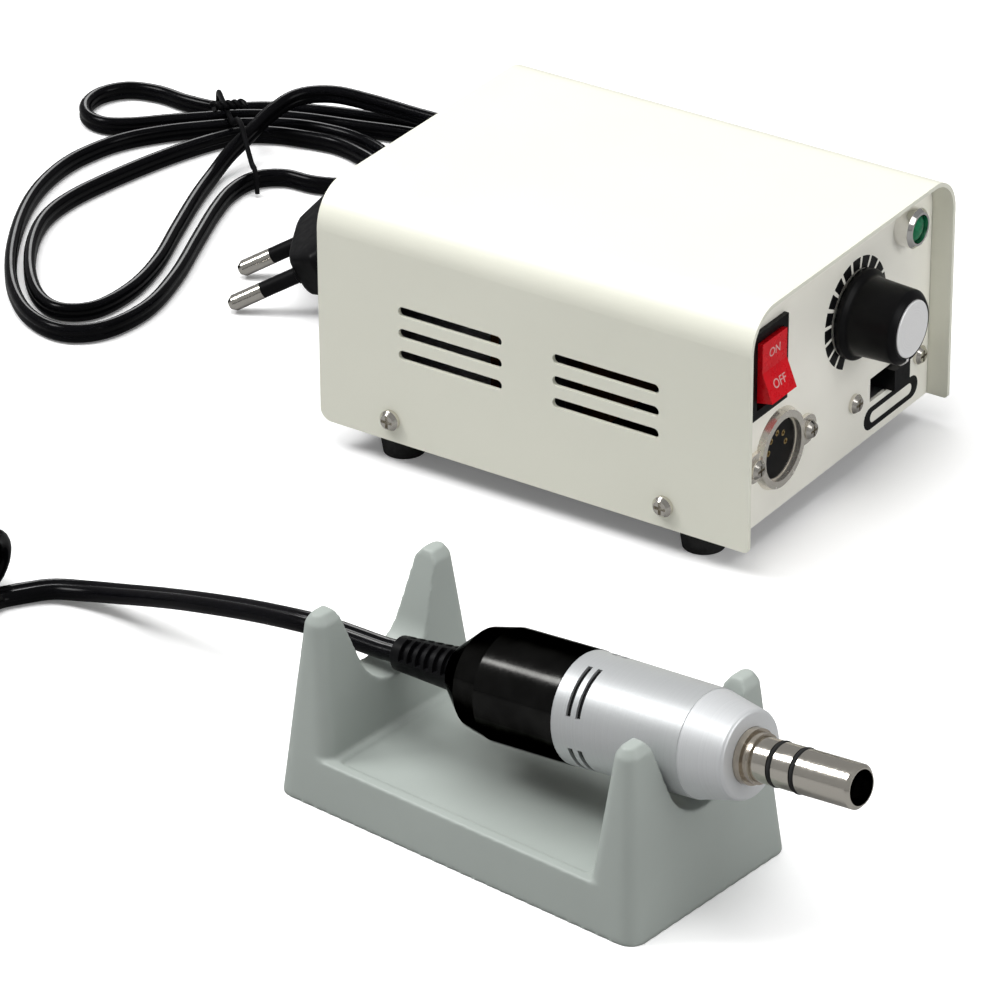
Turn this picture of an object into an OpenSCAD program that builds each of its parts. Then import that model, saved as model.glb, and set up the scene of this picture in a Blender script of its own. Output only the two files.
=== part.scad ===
// Dental micromotor set: control box with mains lead, straight motor handpiece with curly lead, desk stand.
// Millimetres, +Z up, origin on the desk at the middle of the set's footprint, leads left out.

/* [Layout] */
// Middle of the control box, across
box_x = 68.4; // [40:0.1:110]
// Middle of the control box, front to back
box_y = 38.8; // [20:0.1:80]
// Middle of the stand, measured from the middle of the box, across
stand_dx = -152.4; // [-200:0.1:-120]
// Middle of the stand, measured from the middle of the box, front to back
stand_dy = -72; // [-110:0.1:-30]
// Turn of the stand's long axis, nose end
stand_turn = -96.4; // [-120:0.1:-70]

/* [Control box] */
// Outer width of the cover
box_w = 88; // [84:1:110]
// Depth of the cover, front to back
box_d = 115; // [112:1:150]
// Height of the cover
box_h = 58; // [56:1:80]
// Height of the rubber feet
foot_h = 7; // [5:0.5:12]
// Thickness of the cover sheet
cover_t = 1; // [0.8:0.1:1.6]
// Outside radius of the cover's top bends
bend_r = 9.5; // [6:0.5:12]
// Radius of the cover's lower corners at the rear
corner_r = 3; // [1:0.5:5]
// How far the front plate sits behind the cover's front edge
front_recess = 5.5; // [3:0.5:8]
// How far the rear wall sits inside the cover's back edge
rear_recess = 3; // [2:0.5:5]
// Thickness of the chassis sheet
chassis_t = 1.2; // [1:0.1:1.6]
// Thickness of the printed front plate
plate_t = 0.8; // [0.5:0.1:1.2]
// Height of the chassis side flanges
flange_h = 11; // [10:0.5:14]
// Height of the side screws above the cover's lower edge
side_screw_z = 5.5; // [4.5:0.1:7]
// Rear side screws, measured from the cover's back edge
side_screw_back = 19.6; // [18:0.1:26]
// Front side screws, measured from the cover's front edge
side_screw_front = 22; // [20:0.1:28]

/* [Vents] */
// Slots in one group
vent_rows = 3; // [1:1:4]
// Length of a slot
vent_len = 28; // [15:0.5:32]
// Width of a slot
vent_w = 2.5; // [1.5:0.1:3.5]
// Step between slots
vent_pitch = 5.5; // [4.5:0.1:6.5]
// Height of the lowest slot above the cover's lower edge
vent_low = 22.9; // [18:0.1:26]
// Middles of the slot groups, measured from the cover's back edge
vent_back = [36, 77.5]; // [20:0.5:95]

/* [Front controls] */
// Rocker switch, from the cover's left edge and lower edge
rocker_at = [15.2, 38.3]; // [0:0.1:60]
// Motor socket, from the cover's left edge and lower edge
socket_at = [21.2, 15.4]; // [0:0.1:60]
// Speed knob, from the cover's left edge and lower edge
knob_at = [53.6, 35.2]; // [0:0.1:60]
// Direction switch, from the cover's right edge and lower edge
slide_in = [19.8, 12]; // [0:0.1:60]
// Pilot lamp, from the cover's right edge and lower edge
lamp_in = [13.7, 48.5]; // [0:0.1:60]
// Rocker bezel width
rocker_w = 15; // [13:0.5:18]
// Rocker bezel height
rocker_h = 21; // [19:0.5:24]
// Rocker swing between its two positions
rocker_swing = 22; // [16:1:26]
// Diameter of the knob's skirt
knob_skirt_d = 21.5; // [18:0.5:24]
// Diameter of the knob's grip
knob_d = 18.5; // [15:0.5:20]
// Height of the knob from the front plate
knob_h = 15; // [12:0.5:18]
// Diameter of the knob's bright cap
knob_cap_d = 13.5; // [10:0.5:14.5]
// Diameter of the potentiometer shaft
pot_shaft_d = 6; // [5:0.5:6.5]
// Mouth diameter of the motor socket
socket_bore_d = 15; // [15:0.1:17]
// Outside diameter of the motor socket's ring
socket_ring_d = 19.5; // [18.5:0.5:21]
// Distance between the motor socket's screws
socket_screw_gap = 22.4; // [22:0.1:25]
// Travel of the direction switch
slide_travel = 6.5; // [4:0.5:9]
// Distance between the direction switch's screws
slide_screw_gap = 28.6; // [27:0.1:30]
// Diameter of the pilot lamp's bezel
lamp_d = 9.5; // [8:0.5:11]

/* [Stand] */
// Length of the stand's base
stand_l = 96; // [90:1:120]
// Width of the stand's base
stand_b = 51; // [46:1:60]
// Height of the stand's horns
stand_h = 42.3; // [38:0.1:50]
// Height of the low tray between the end walls
tray_z = 11; // [9:0.5:14]
// Lean of the outer faces
stand_draft = 5.5; // [3:0.5:7]
// Radius at the bottom of the notches
notch_r = 11; // [9:0.5:12]
// Height of the bottom of the notches
notch_z = 21.2; // [20:0.1:26]
// Lean of the notch flanks
notch_lean = 20; // [15:1:25]
// Wall of the moulding
stand_t = 2.2; // [1.5:0.1:3]

/* [Handpiece] */
// Diameter of the black rear sleeve
sleeve_d = 24.4; // [24:0.1:26]
// Length of the rear sleeve
sleeve_len = 33.7; // [32:0.1:40]
// Barrel diameter at the sleeve
barrel_d = 24.2; // [24:0.1:26]
// Barrel diameter at the nose
barrel_front_d = 23; // [22:0.1:24]
// Length of the bare barrel
barrel_len = 32; // [30:0.5:40]
// Length of the nose
nose_len = 10; // [8:0.1:12]
// Diameter of the nose's front face
nose_face_d = 18.2; // [17:0.1:20]
// Diameter of the coupling spigot
spigot_d = 9.4; // [9:0.1:10]
// Length of the spigot in front of the nose
spigot_len = 27.6; // [26:0.1:32]
// Rings on the spigot, measured from the nose's face
ring_from_face = [7.8, 13.5]; // [7:0.1:18]
// Motor shaft diameter
shaft_d = 3; // [2.5:0.1:3.5]
// Length of the lead's boot behind the sleeve
boot_len = 17; // [14:0.5:20]
// Ribs on the boot
boot_ribs = 6; // [4:1:8]
// Nose-up tilt of the handpiece in the stand
handpiece_tilt = 6.8; // [4:0.1:9]
// Rear end of the sleeve along the stand, from the stand's middle
handpiece_rear = -18; // [-22:0.5:-14]
// Height of the handpiece's axis at that end
handpiece_z = 28.5; // [28:0.1:32]

/* [Leads] */
// Width of the flat mains lead
mains_w = 4.7; // [4.4:0.1:5]
// Thickness of the flat mains lead
mains_t = 3; // [2.6:0.1:3.2]
// Width of the flat motor lead
motor_w = 6; // [5:0.1:6]
// Thickness of the flat motor lead
motor_t = 3.6; // [3:0.1:3.6]
// Curls in the motor lead
curls = 24; // [12:1:30]
// Step between curls
curl_pitch = 6.7; // [6.6:0.1:8]
// Outer diameter of the curls
curl_d = 17.5; // [16:0.5:20]
// Diameter of the mains plug's pins
plug_pin_d = 4; // [3.8:0.1:4.8]
// Length of the mains plug's pins
plug_pin_len = 19; // [18:0.5:20]
// Distance between the mains plug's pins
plug_pin_gap = 18.4; // [17.5:0.1:19]

/* [Hidden] */
$fn = 64;

// Gap between fixed pieces that slip together, and running gap round a turning pin
fit_gap = 0.1;
run_gap = 0.05;
over = 1;

// Colours
cream = [0.87, 0.87, 0.81];
plate_grey = [0.78, 0.76, 0.71];
zinc = [0.72, 0.73, 0.74];
chrome = [0.85, 0.85, 0.86];
silver = [0.80, 0.81, 0.83];
brass = [0.80, 0.62, 0.30];
copper = [0.72, 0.40, 0.20];
black = [0.06, 0.06, 0.07];
red = [0.70, 0.04, 0.06];
green = [0.05, 0.40, 0.20];
board_green = [0.10, 0.35, 0.18];
stand_grey = [0.56, 0.60, 0.56];
iron = [0.35, 0.35, 0.37];
tan = [0.78, 0.64, 0.38];

// Levels and walls of the control box
base_top = foot_h + chassis_t;
inner_w = box_w - 2 * cover_t - 2 * fit_gap;
inner_h = box_h - cover_t - 2 * fit_gap;
inner_r = bend_r - cover_t - fit_gap;
front_y = -box_d / 2 + front_recess;
rear_y = box_d / 2 - rear_recess;
front_stack = plate_t + chassis_t;
panel_cut = 6;
// Places near the right edge, from the left edge
slide_at = [box_w - slide_in[0], slide_in[1]];
lamp_at = [box_w - lamp_in[0], lamp_in[1]];

// Screws: shank diameter, head diameter, head height
m3 = [3, 5, 1.8];
m25 = [2.5, 4.6, 1.6];
screw_len = 5;
strap_screw_len = 4;
screw_rise = 3;
front_corner_r = 1;
foot_r = [4.9, 6];
foot_in = 9;
foot_end = 17;
foot_sink = 3.5;
foot_sink_d = m3[1] + 1.4;

// Rocker switch
rocker_wall = 1.1;
rocker_flange_t = 1.2;
rocker_depth = 17;
rocker_cave = 11;
rocker_pivot_z = -3;
rocker_pin_d = 3;
rocker_body = [rocker_w - 2, rocker_h - 2];
rocker_hole = [rocker_body[0] - 2 * rocker_wall, rocker_body[1] - 2 * rocker_wall];
rocker_side_gap = 0.3;
rocker_half = rocker_hole[1] / 2 - 1.3;
rocker_valley = 2.4;
rocker_keel = 4;
rocker_blade = [4.8, 0.8, 8];

// Motor socket
socket_rise = 1.5;
socket_seat_d = socket_bore_d - 0.6;
socket_sleeve_d = socket_seat_d + 2;
socket_depth = 9;
socket_sleeve_len = 7;
socket_ear = [7, 1];
socket_taper = 1.2;
insert_drop = 0.3;
contact_ring = 3.6;
contact_count = 5;
contact_d = 1.4;
contact_bore_d = 0.8;
contact_tail = 4;

// Potentiometer and knob
pot_d = 16;
pot_depth = 10;
bush_d = 7;
bush_rise = 4;
nut_t = 2;
pot_nut_d = 11;
pot_floor = 2;
knob_lift = 0.6;
knob_skirt_t = 2;
knob_room_d = 13;
knob_room_h = 5;
cap_t = 1;
cap_proud = 0.3;
knob_taper = 1;
knob_edge = 1.3;

// Direction switch
slider_l = 6.8;
slider_h = 5.3;
slot_h = 6;
slot_l = slider_l + slide_travel + 1;
slider_rise = 2.4;
slider_depth = 6;
slide_body = [slot_l + 4, 9, 10];
slide_floor = 1.5;
slide_ear = [slide_screw_gap + 4.6, 7.5, 0.8];

// Pilot lamp
lamp_rise = 4.3;
lamp_bore_d = 6.8;
lamp_neck_d = 7.8;
lamp_neck = 8;
lamp_nut_d = 11;
lamp_edge = 0.8;
lamp_ledge = 0.8;
lens_dome = 1.2;

// Transformer, set from the left flange of the chassis
flange_in = inner_w / 2 - chassis_t;
core = [0.49 * inner_w, 18, 36];
core_window = [core[0] / 6, 21];
core_leg = core[0] / 3;
winding_bulge = 7;
strap_t = 1;
strap_w = 12;
strap_ear = 8;
strap_gap = 1.7;
core_at = [-flange_in + strap_gap + strap_ear + strap_t + core[0] / 2, 8];

// Circuit board, set from the right flange and the rear feet, its pieces by their share of its length
board_gap = [3.2, 5.5];
board = [0.256 * inner_w, 0.545 * (rear_y - front_y), 1.6];
board_rear = box_d / 2 - foot_end - board_gap[1];
board_at = [flange_in - board_gap[0] - board[0] / 2, board_rear - board[1] / 2];
standoff_h = 8;
standoff_d = 5;
standoff_in = 3;
board_top = base_top + standoff_h + board[2];
cap_d = 10;
cap_h = 22;
cap_share = [0.155, 0.362];
rectifier_size = [10, 5, 12];
rectifier_y = board_rear - 0.57 * board[1];
sink = [board[0] - 2, 2, 28];
sink_y = board_rear - 0.828 * board[1];
fin = [1.2, 8];
transistor = [10, 4.4, 15];
transistor_lift = 4;

// Rear wall fittings, from the cover's left edge and lower edge
fuse_at = [16, 33];
bush_in = 8;
bush_at = [box_w - bush_in, 8];
fuse_body_d = 12;
fuse_body_len = 24;
fuse_flange = [15, 2];
fuse_hole_d = 7.2;
fuse_cap_d = 13;
fuse_cap_h = 6;
fuse_size = [5, 20];
fuse_stem = 4;
fuse_floor = 2;
fuse_cap_gap = 0.3;
fuse_room_d = fuse_size[0] + 0.8;
cap_slot = [1.2, 1.4];
bush_flange = [13, 2.5];
bush_neck_d = 8.8;
bush_len = 24.5;
bush_end_d = 6.8;
bush_root_d = 10;
bush_grooves = 5;
bush_groove_w = 1.4;
bush_groove_d = bush_end_d - 0.6;
bush_inner = [11.5, 2];

// Mains plug: place of the pins' face from the middle of the box, turn and dip of the pins
plug_at = [14.8, 103.9, 10.9];
plug_turn = 118.6;
plug_dip = 28;
plug_face = [24, 12.4];
plug_wide = [35, 13.7];
plug_waist = [31, 13.7];
plug_wide_at = [7, 13];
slab_t = 0.2;
plug_neck = [15, 11];
plug_len = 25;
plug_sleeve_len = 10;
plug_boot_len = 11;
plug_boot_d = [9.6, 7.4];
pin_tip = 1.2;
plug_end = plug_len + plug_boot_len;

// Leads: rise above the desk, and rings between two route points
floor_gap = 0.1;
lead_steps = 2;
// Mains lead, from the middle of the box: from the rear bush to the hank, then the hank in the order in which
// the lead runs through it, and up to the plug; stretches with two numbers a point lie on the desk
mains_z = mains_w / 2 + floor_gap;
bush_end = [bush_at[0] - box_w / 2, rear_y + bush_len, foot_h + bush_at[1]];
to_hank = [[38.5, 91, 13.2], [46, 96, 8.8], [57, 98, 4.6]];
behind_box = [
    [70, 96.5], [83, 96], [94, 98.5], [102, 106], [105, 118], [103.5, 131], [100.5, 144],
    [96.5, 157], [91, 169]
];
small_loop = [
    [84.5, 178.5], [83, 188.5], [83.5, 198], [81, 206], [74.5, 210], [67, 209], [62, 204.5], [61, 198.5],
    [64.5, 192.5], [71, 186], [77, 179.5]
];
first_turn = [
    [82.3, 173.8], [87.3, 166], [91.3, 156], [94.5, 144], [98, 132], [99.8, 121], [97.5, 111.5], [91, 106],
    [84, 108], [80.7, 115], [82.3, 123.5], [86.5, 132], [88.7, 141], [88.5, 149], [86.8, 156.5], [83.7, 163]
];
outer_loop = [
    [79, 169.6], [73.5, 175.5], [66, 182.5], [57, 188.5], [48, 191.5], [36, 192.5], [21, 189.5], [5, 182.5],
    [-12, 172], [-25, 161], [-33.5, 149.5], [-35.5, 138.5], [-29, 131], [-15, 129], [2, 133], [21, 140.3],
    [36, 146], [47, 149], [56, 148.5], [61.3, 143]
];
second_turn = [
    [62.3, 134.5], [66, 126.8], [72.5, 123.6], [78.7, 127], [82, 135], [83.5, 143], [82.3, 151], [80, 159]
];
inner_loop = [
    [75.5, 166], [67, 170.5], [55, 174.5], [39, 178], [23, 180], [10, 178.5], [-3, 172.5], [-16, 163],
    [-25, 153], [-27, 145], [-21.5, 139], [-9, 138], [6, 141.3], [23, 148], [40, 154.5]
];
to_plug = [
    [52, 158, 3], [60, 159, 5], [68, 158.5, 7.5], [77, 158.5, 9.6], [86, 156.5, 11.2], [92.5, 150, 11.2],
    [95.5, 140, 10.2], [97, 128, 9.2], [98, 116, 8.8], [97.5, 105, 9], [92.5, 94, 9.2], [83.5, 82.5, 7],
    [73, 73, 10.5], [64, 67, 19], [56, 63.5, 26.5], [48, 62.3, 31.4], [41, 63.5, 33.2], [35.6, 67, 32.6]
];
tie_d = 1.8;
tie_route = [
    [87.2, 182.2, 1], [86, 181, 6.2], [80, 174.6, 6.3], [73, 167.2, 6.8], [68, 162, 10.6],
    [64.5, 158.2, 11.6], [61, 154.5, 9.8], [56.3, 149.3, 6.8], [53.7, 146.3, 6.3], [52.8, 145.2, 1]
];

// Motor lead: from the boot to the curls, and from the curls to its plug, from the middle of the box
motor_z = motor_t / 2 + floor_gap;
motor_in = [
    [-145.6, -17, 24.4], [-144.6, -8.5, 23.2], [-141.4, 6.5, 19.4], [-138, 23, 14.6], [-134.6, 36, 10],
    [-132.4, 48, 6], [-132, 58, 3.4], [-134.5, 67, 2.2]
];
curl_r = (curl_d - motor_t) / 2;
curl_from = [-143, 74, curl_r + motor_z];
motor_out = [
    [-8, 1.5, 0], [-16, 0.5, 0], [-23, -4, 0.8], [-28, -11, 2.6]
];
motor_plug_at = [-30, -26];
motor_plug_z = 7.4;
motor_plug_boot = [7.4, 11, 16];
motor_plug_shell = [14.4, 30];
motor_plug_mouth = 9;
motor_plug_wall = 1;
motor_plug_pin_d = 1.4;

// Stand
horn_top = 5.6;
wall_foot = 14.8;
stand_corner = 4;
horn_round = 2.2;
notch_flare = 1.2;
tray_rim = 2.6;
tray_drop = 0.8;
core_top = 18.5;
lean_in = stand_h * tan(stand_draft);
tray_lean = tray_z * tan(stand_draft);
notch_mid = notch_z + notch_r;
dimple_d = 1.2;
dimple_at = [3, 6];
film = 0.1;

// Handpiece stations along its axis, from the rear end of the sleeve
barrel_end = sleeve_len + barrel_len;
face_at = barrel_end + nose_len;
tip_at = face_at + spigot_len;
shoulder_r = [5.9, 10.9];
shoulder_at = [6.5, 13];
sleeve_wall = 1.65;
sleeve_room = sleeve_d / 2 - sleeve_wall;
sleeve_back = 4.5;
thread_len = 6.5;
thread_r = sleeve_room - fit_gap / 2;
barrel_room = 9.7;
slot_from = [3.7, 6.2];
slot_groups = 4;
slot_arc = 56;
slot_turn = 42;
slot_w = 1.2;
slot_depth = 1.6;
nose_plug_len = 7;
nose_round = 0.8;
nose_step = 0.3;
bearing = [10, 12, 4.5];
collar_d = 11.8;
collar_step_d = 10.6;
collar_rise = 3.2;
collar_sink = 2.2;
collar_lip = 1.5;
spigot_root = 5.6;
spigot_bore_d = 5.8;
spigot_mouth = [7.4, 12];
spigot_chamfer = 0.7;
ring_cord = 1.1;
groove_d = spigot_d - 1.9;
groove_w = 1.3;
ring_r = groove_d / 2 + ring_cord / 2 + 0.02;

// Motor inside the handpiece
can_inset = 0.5;
holder_from = 11;
holder_gap = 0.7;
holder_len = sleeve_len - thread_len - holder_from - holder_gap;
holder_room_d = 9.2;
holder_hole_d = 5;
rear_bearing_to = holder_from + 5;
front_bearing_from = barrel_end - nose_plug_len + 1;
bearing_wall = 2;
can_from = sleeve_len - thread_len + can_inset;
can_to = barrel_end - nose_plug_len - can_inset;
can_t = 0.8;
can_r = barrel_room - fit_gap;
magnet_t = 1.7;
magnet_arc = 140;
magnet_from = can_from + 3;
magnet_len = can_to - can_from - 6;
armature_gap = 0.35;
armature_r = can_r - can_t - fit_gap - magnet_t - armature_gap;
armature_slots = 7;
armature_slot = [2, 1.2];
commutator_d = 8;
commutator_from = rear_bearing_to + bearing_wall + 0.5;
commutator_len = holder_from + holder_len - commutator_from - 1;
brush = [3, 3, 3.6];
brush_gap = 0.08;
brush_spring_d = [2.4, 1.4];
brush_bite = 1;
brush_at = commutator_from + commutator_len / 2;
shaft_from = holder_from + can_inset;
dog_d = 4.8;
dog_len = 5;
dog_slot = [1.4, 2.5];
dog_to = tip_at - 5;
boot_root_d = 9.2;
boot_end_d = 7.2;
boot_neck_d = 6.4;
boot_flange = [11, 2];
rib_rise = 0.7;
rib_share = 0.55;

// Places
module in_box() { translate([box_x, box_y, 0]) children(); }
module in_stand() { in_box() translate([stand_dx, stand_dy, 0]) rotate([0, 0, stand_turn]) children(); }
module in_handpiece() {
    in_stand() translate([handpiece_rear, 0, handpiece_z]) rotate([0, 90 - handpiece_tilt, 0]) children();
}
module in_plug() { in_box() translate(plug_at) rotate([0, plug_dip, plug_turn]) children(); }
// Front frame: x across, y up, z out of the front plate towards the user
module on_front(at) {
    in_box() translate([at[0] - box_w / 2, front_y, at[1] + foot_h]) rotate([90, 0, 0]) children();
}
// Rear frame: x across, y up, z out of the rear wall
module on_rear(at) {
    in_box() translate([at[0] - box_w / 2, rear_y, at[1] + foot_h]) rotate([90, 0, 180]) children();
}

// Shapes used more than once
module arch_2d(w, h, r) {
    translate([-w / 2, 0]) square([w, h - r]);
    translate([-w / 2 + r, 0]) square([w - 2 * r, h]);
    for (s = [-1, 1]) translate([s * (w / 2 - r), h - r]) circle(r);
}
module upright(t) {
    translate([0, 0, foot_h]) rotate([90, 0, 0]) linear_extrude(t) arch_2d(inner_w, inner_h, inner_r);
}
module slot_2d(l, w) {
    square([l - w, w], center = true);
    for (s = [-1, 1]) translate([s * (l - w) / 2, 0]) circle(w / 2);
}
module block(size, from) { translate([-size[0] / 2, -size[1] / 2, from]) cube(size); }
module disc(d, from, to) { translate([0, 0, from]) cylinder(h = to - from, d = d); }
module ring(d_out, d_in, from, to) {
    difference() {
        disc(d_out, from, to);
        disc(d_in, from - over, to + over);
    }
}
module nut(d, hole, from, to) {
    difference() {
        translate([0, 0, from]) cylinder(h = to - from, d = d, $fn = 6);
        disc(hole, from - over, to + over);
    }
}
// Pan-head cross screw, head above z = 0 and shank below
module pan_screw(size, len) {
    cross_w = size[0] / 4;
    difference() {
        union() {
            disc(size[1], 0, size[2] / 2);
            translate([0, 0, size[2] / 2]) cylinder(h = size[2] / 2, d1 = size[1], d2 = size[1] * 0.7);
            disc(size[0], -len, over / 10);
        }
        for (a = [0, 90]) rotate(a) block([size[1] * 0.6, cross_w, size[2]], size[2] / 2);
    }
}
module along_x() { rotate([0, 90, 0]) children(); }
module at_pair(gap) { for (s = [-1, 1]) translate([s * gap / 2, 0, 0]) children(); }
module cone(d_from, d_to, from, to) {
    translate([0, 0, from]) cylinder(h = to - from, d1 = d_from, d2 = d_to);
}

// Swept leads
function unit(v) = v / norm(v);
function curve_point(p, i, t) =
    let (n = len(p), a = p[max(i - 1, 0)], b = p[i], c = p[min(i + 1, n - 1)], d = p[min(i + 2, n - 1)])
    0.5 * (2 * b + t * (c - a) + t * t * (2 * a - 5 * b + 4 * c - d) + t * t * t * (3 * b - a - 3 * c + d));
function smooth(p, steps) = [
    for (i = [0 : len(p) - 2], s = [0 : steps - 1]) curve_point(p, i, s / steps), p[len(p) - 1]
];
// Straight stretch with which a lead leaves its gland or plug
function straight_end(p, way) = [p, p + way / 2, p + way];
function reversed(p) = [for (i = [len(p) - 1 : -1 : 0]) p[i]];
// Route lifted where it would sink into the desk
function on_desk(p, z) = [for (q = p) [q[0], q[1], max(q[2], z)]];
function heading(p, i) = unit(p[min(i + 1, len(p) - 1)] - p[max(i - 1, 0)]);
// Ring of an oval tube round point i: wide along the cross direction, thin along the given up direction
function tube_ring(p, up, i, wide, thin, sides) =
    let (t = heading(p, i), s = unit(cross(t, up[i])), u = cross(s, t))
    [for (k = [0 : sides - 1])
        let (a = 360 * (k + 0.5) / sides) p[i] + s * wide / 2 * cos(a) + u * thin / 2 * sin(a)];
module tube(p, up, wide, thin, sides) {
    n = len(p);
    rings = [for (i = [0 : n - 1]) each tube_ring(p, up, i, wide, thin, sides)];
    walls = [for (i = [0 : n - 2], k = [0 : sides - 1])
        let (a = i * sides + k, b = i * sides + (k + 1) % sides)
            each [[a, b, a + sides], [b, b + sides, a + sides]]];
    near_end = [for (k = [1 : sides - 2]) [0, k + 1, k]];
    far = (n - 1) * sides;
    far_end = [for (k = [1 : sides - 2]) [far, far + k, far + k + 1]];
    polyhedron(points = rings, faces = concat(walls, near_end, far_end), convexity = 10);
}
// Least gap of a lead to itself, between points further along than the skipped stretch
function self_gap(p, flat, tall, skip) = min([
    for (i = [0 : len(p) - 1], j = [i + skip : 1 : len(p) - 1])
        let (v = p[j] - p[i], d = norm(v), h = norm([v[0], v[1]]) / d, z = v[2] / d)
        d - norm([flat * h, tall * z])
]);
function upright_for(p) = [for (q = p) [0, 0, 1]];

// Control box: sheet metal
module cover_side_2d() {
    translate([-box_d / 2, corner_r]) square([box_d, box_h - corner_r]);
    translate([-box_d / 2, front_corner_r]) square([box_d / 2, box_h - front_corner_r]);
    translate([front_corner_r - box_d / 2, 0]) square([box_d - front_corner_r - corner_r, box_h]);
    translate([front_corner_r - box_d / 2, front_corner_r]) circle(front_corner_r);
    translate([box_d / 2 - corner_r, corner_r]) circle(corner_r);
}
// Runs its children at each side screw, z pointing out of the cover
module at_side_screws() {
    for (s = [-1, 1], y = [box_d / 2 - side_screw_back, side_screw_front - box_d / 2])
        translate([s * box_w / 2, y, foot_h + side_screw_z]) rotate([0, s * 90, 0]) children();
}
module at_feet() {
    for (sx = [-1, 1], sy = [-1, 1])
        translate([sx * (box_w / 2 - foot_in), sy * (box_d / 2 - foot_end), 0]) children();
}
module vents() {
    for (back = vent_back, row = [0 : vent_rows - 1])
        translate([-box_w / 2 - over, box_d / 2 - back, foot_h + vent_low + row * vent_pitch])
            rotate([90, 0, 90]) linear_extrude(box_w + 2 * over) slot_2d(vent_len, vent_w);
}
module top_cover() {
    in_box() color(cream) difference() {
        intersection() {
            translate([0, box_d / 2, foot_h]) rotate([90, 0, 0]) linear_extrude(box_d) difference() {
                arch_2d(box_w, box_h, bend_r);
                translate([0, -over]) arch_2d(box_w - 2 * cover_t, box_h - cover_t + over, bend_r - cover_t);
            }
            translate([-box_w / 2, 0, foot_h]) rotate([90, 0, 90]) linear_extrude(box_w) cover_side_2d();
        }
        vents();
        at_side_screws() disc(m3[0] + 2 * fit_gap, -2 * cover_t, over);
    }
}
// Cut-outs shared by the front plate and the chassis front
module front_holes() {
    on_front(rocker_at)
        block([rocker_body[0] + 2 * fit_gap, rocker_body[1] + 2 * fit_gap, panel_cut + over], -panel_cut);
    on_front(socket_at) {
        disc(socket_sleeve_d + 2 * fit_gap, -panel_cut, over);
        at_pair(socket_screw_gap) disc(m25[0] + 2 * fit_gap, -panel_cut, over);
    }
    on_front(knob_at) disc(bush_d + 2 * fit_gap, -panel_cut, over);
    on_front(slide_at) {
        block([slot_l, slot_h, panel_cut + over], -panel_cut);
        at_pair(slide_screw_gap) disc(m25[0] + 2 * fit_gap, -panel_cut, over);
    }
    on_front(lamp_at) disc(lamp_neck_d + 2 * fit_gap, -panel_cut, over);
}
module chassis() {
    color(zinc) difference() {
        in_box() {
            translate([-inner_w / 2, front_y + plate_t, foot_h])
                cube([inner_w, rear_y - front_y - plate_t, chassis_t]);
            translate([0, front_y + front_stack, 0]) upright(chassis_t);
            translate([0, rear_y, 0]) upright(chassis_t);
            for (s = [-1, 1]) translate([s * (inner_w - chassis_t) / 2, 0, 0])
                block([chassis_t, rear_y - front_y - 2 * flange_h, flange_h], foot_h);
        }
        front_holes();
        in_box() at_side_screws() disc(m3[0] + 2 * run_gap, -screw_len, over);
        in_box() at_feet() disc(m3[0] + 2 * run_gap, 0, base_top + over);
        on_rear(fuse_at) disc(fuse_body_d + 2 * fit_gap, -panel_cut, over);
        on_rear(bush_at) disc(bush_neck_d + 2 * fit_gap, -panel_cut, over);
        in_box() at_strap_screws() disc(m3[0] + 2 * run_gap, -panel_cut, over);
    }
}
module front_plate() {
    color(plate_grey) difference() {
        in_box() translate([0, front_y + plate_t, 0]) upright(plate_t);
        front_holes();
    }
}
module cover_screws() { in_box() color(chrome) at_side_screws() pan_screw(m3, screw_len); }
module rubber_feet() {
    in_box() color(black) at_feet() difference() {
        cone(2 * foot_r[0], 2 * foot_r[1], 0, foot_h);
        disc(foot_sink_d, -over, foot_sink);
        disc(m3[0] + 2 * fit_gap, 0, foot_h + over);
    }
}
module foot_screws() {
    in_box() color(zinc) at_feet() translate([0, 0, foot_sink]) mirror([0, 0, 1])
        pan_screw(m3, foot_h - foot_sink + chassis_t + screw_rise);
}
module panel_screws() {
    color(chrome) {
        on_front(socket_at) at_pair(socket_screw_gap)
            translate([0, 0, socket_ear[1]]) pan_screw(m25, screw_len);
        on_front(slide_at) at_pair(slide_screw_gap) pan_screw(m25, screw_len);
    }
}

// Control box: front controls
module rocker_housing() {
    on_front(rocker_at) color(black) difference() {
        union() {
            block([rocker_w, rocker_h, rocker_flange_t], 0);
            block([rocker_body[0], rocker_body[1], rocker_depth], -rocker_depth);
        }
        block([rocker_hole[0], rocker_hole[1], rocker_cave + rocker_flange_t + over], -rocker_cave);
        translate([-rocker_w / 2, 0, rocker_pivot_z]) along_x() disc(rocker_pin_d + 2 * run_gap, 0, rocker_w);
    }
}
module rocker_terminals() {
    on_front(rocker_at) color(brass) for (s = [-1, 0, 1])
        translate([0, s * rocker_h / 4, 0]) block(rocker_blade, -rocker_depth - rocker_blade[2]);
}
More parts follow.
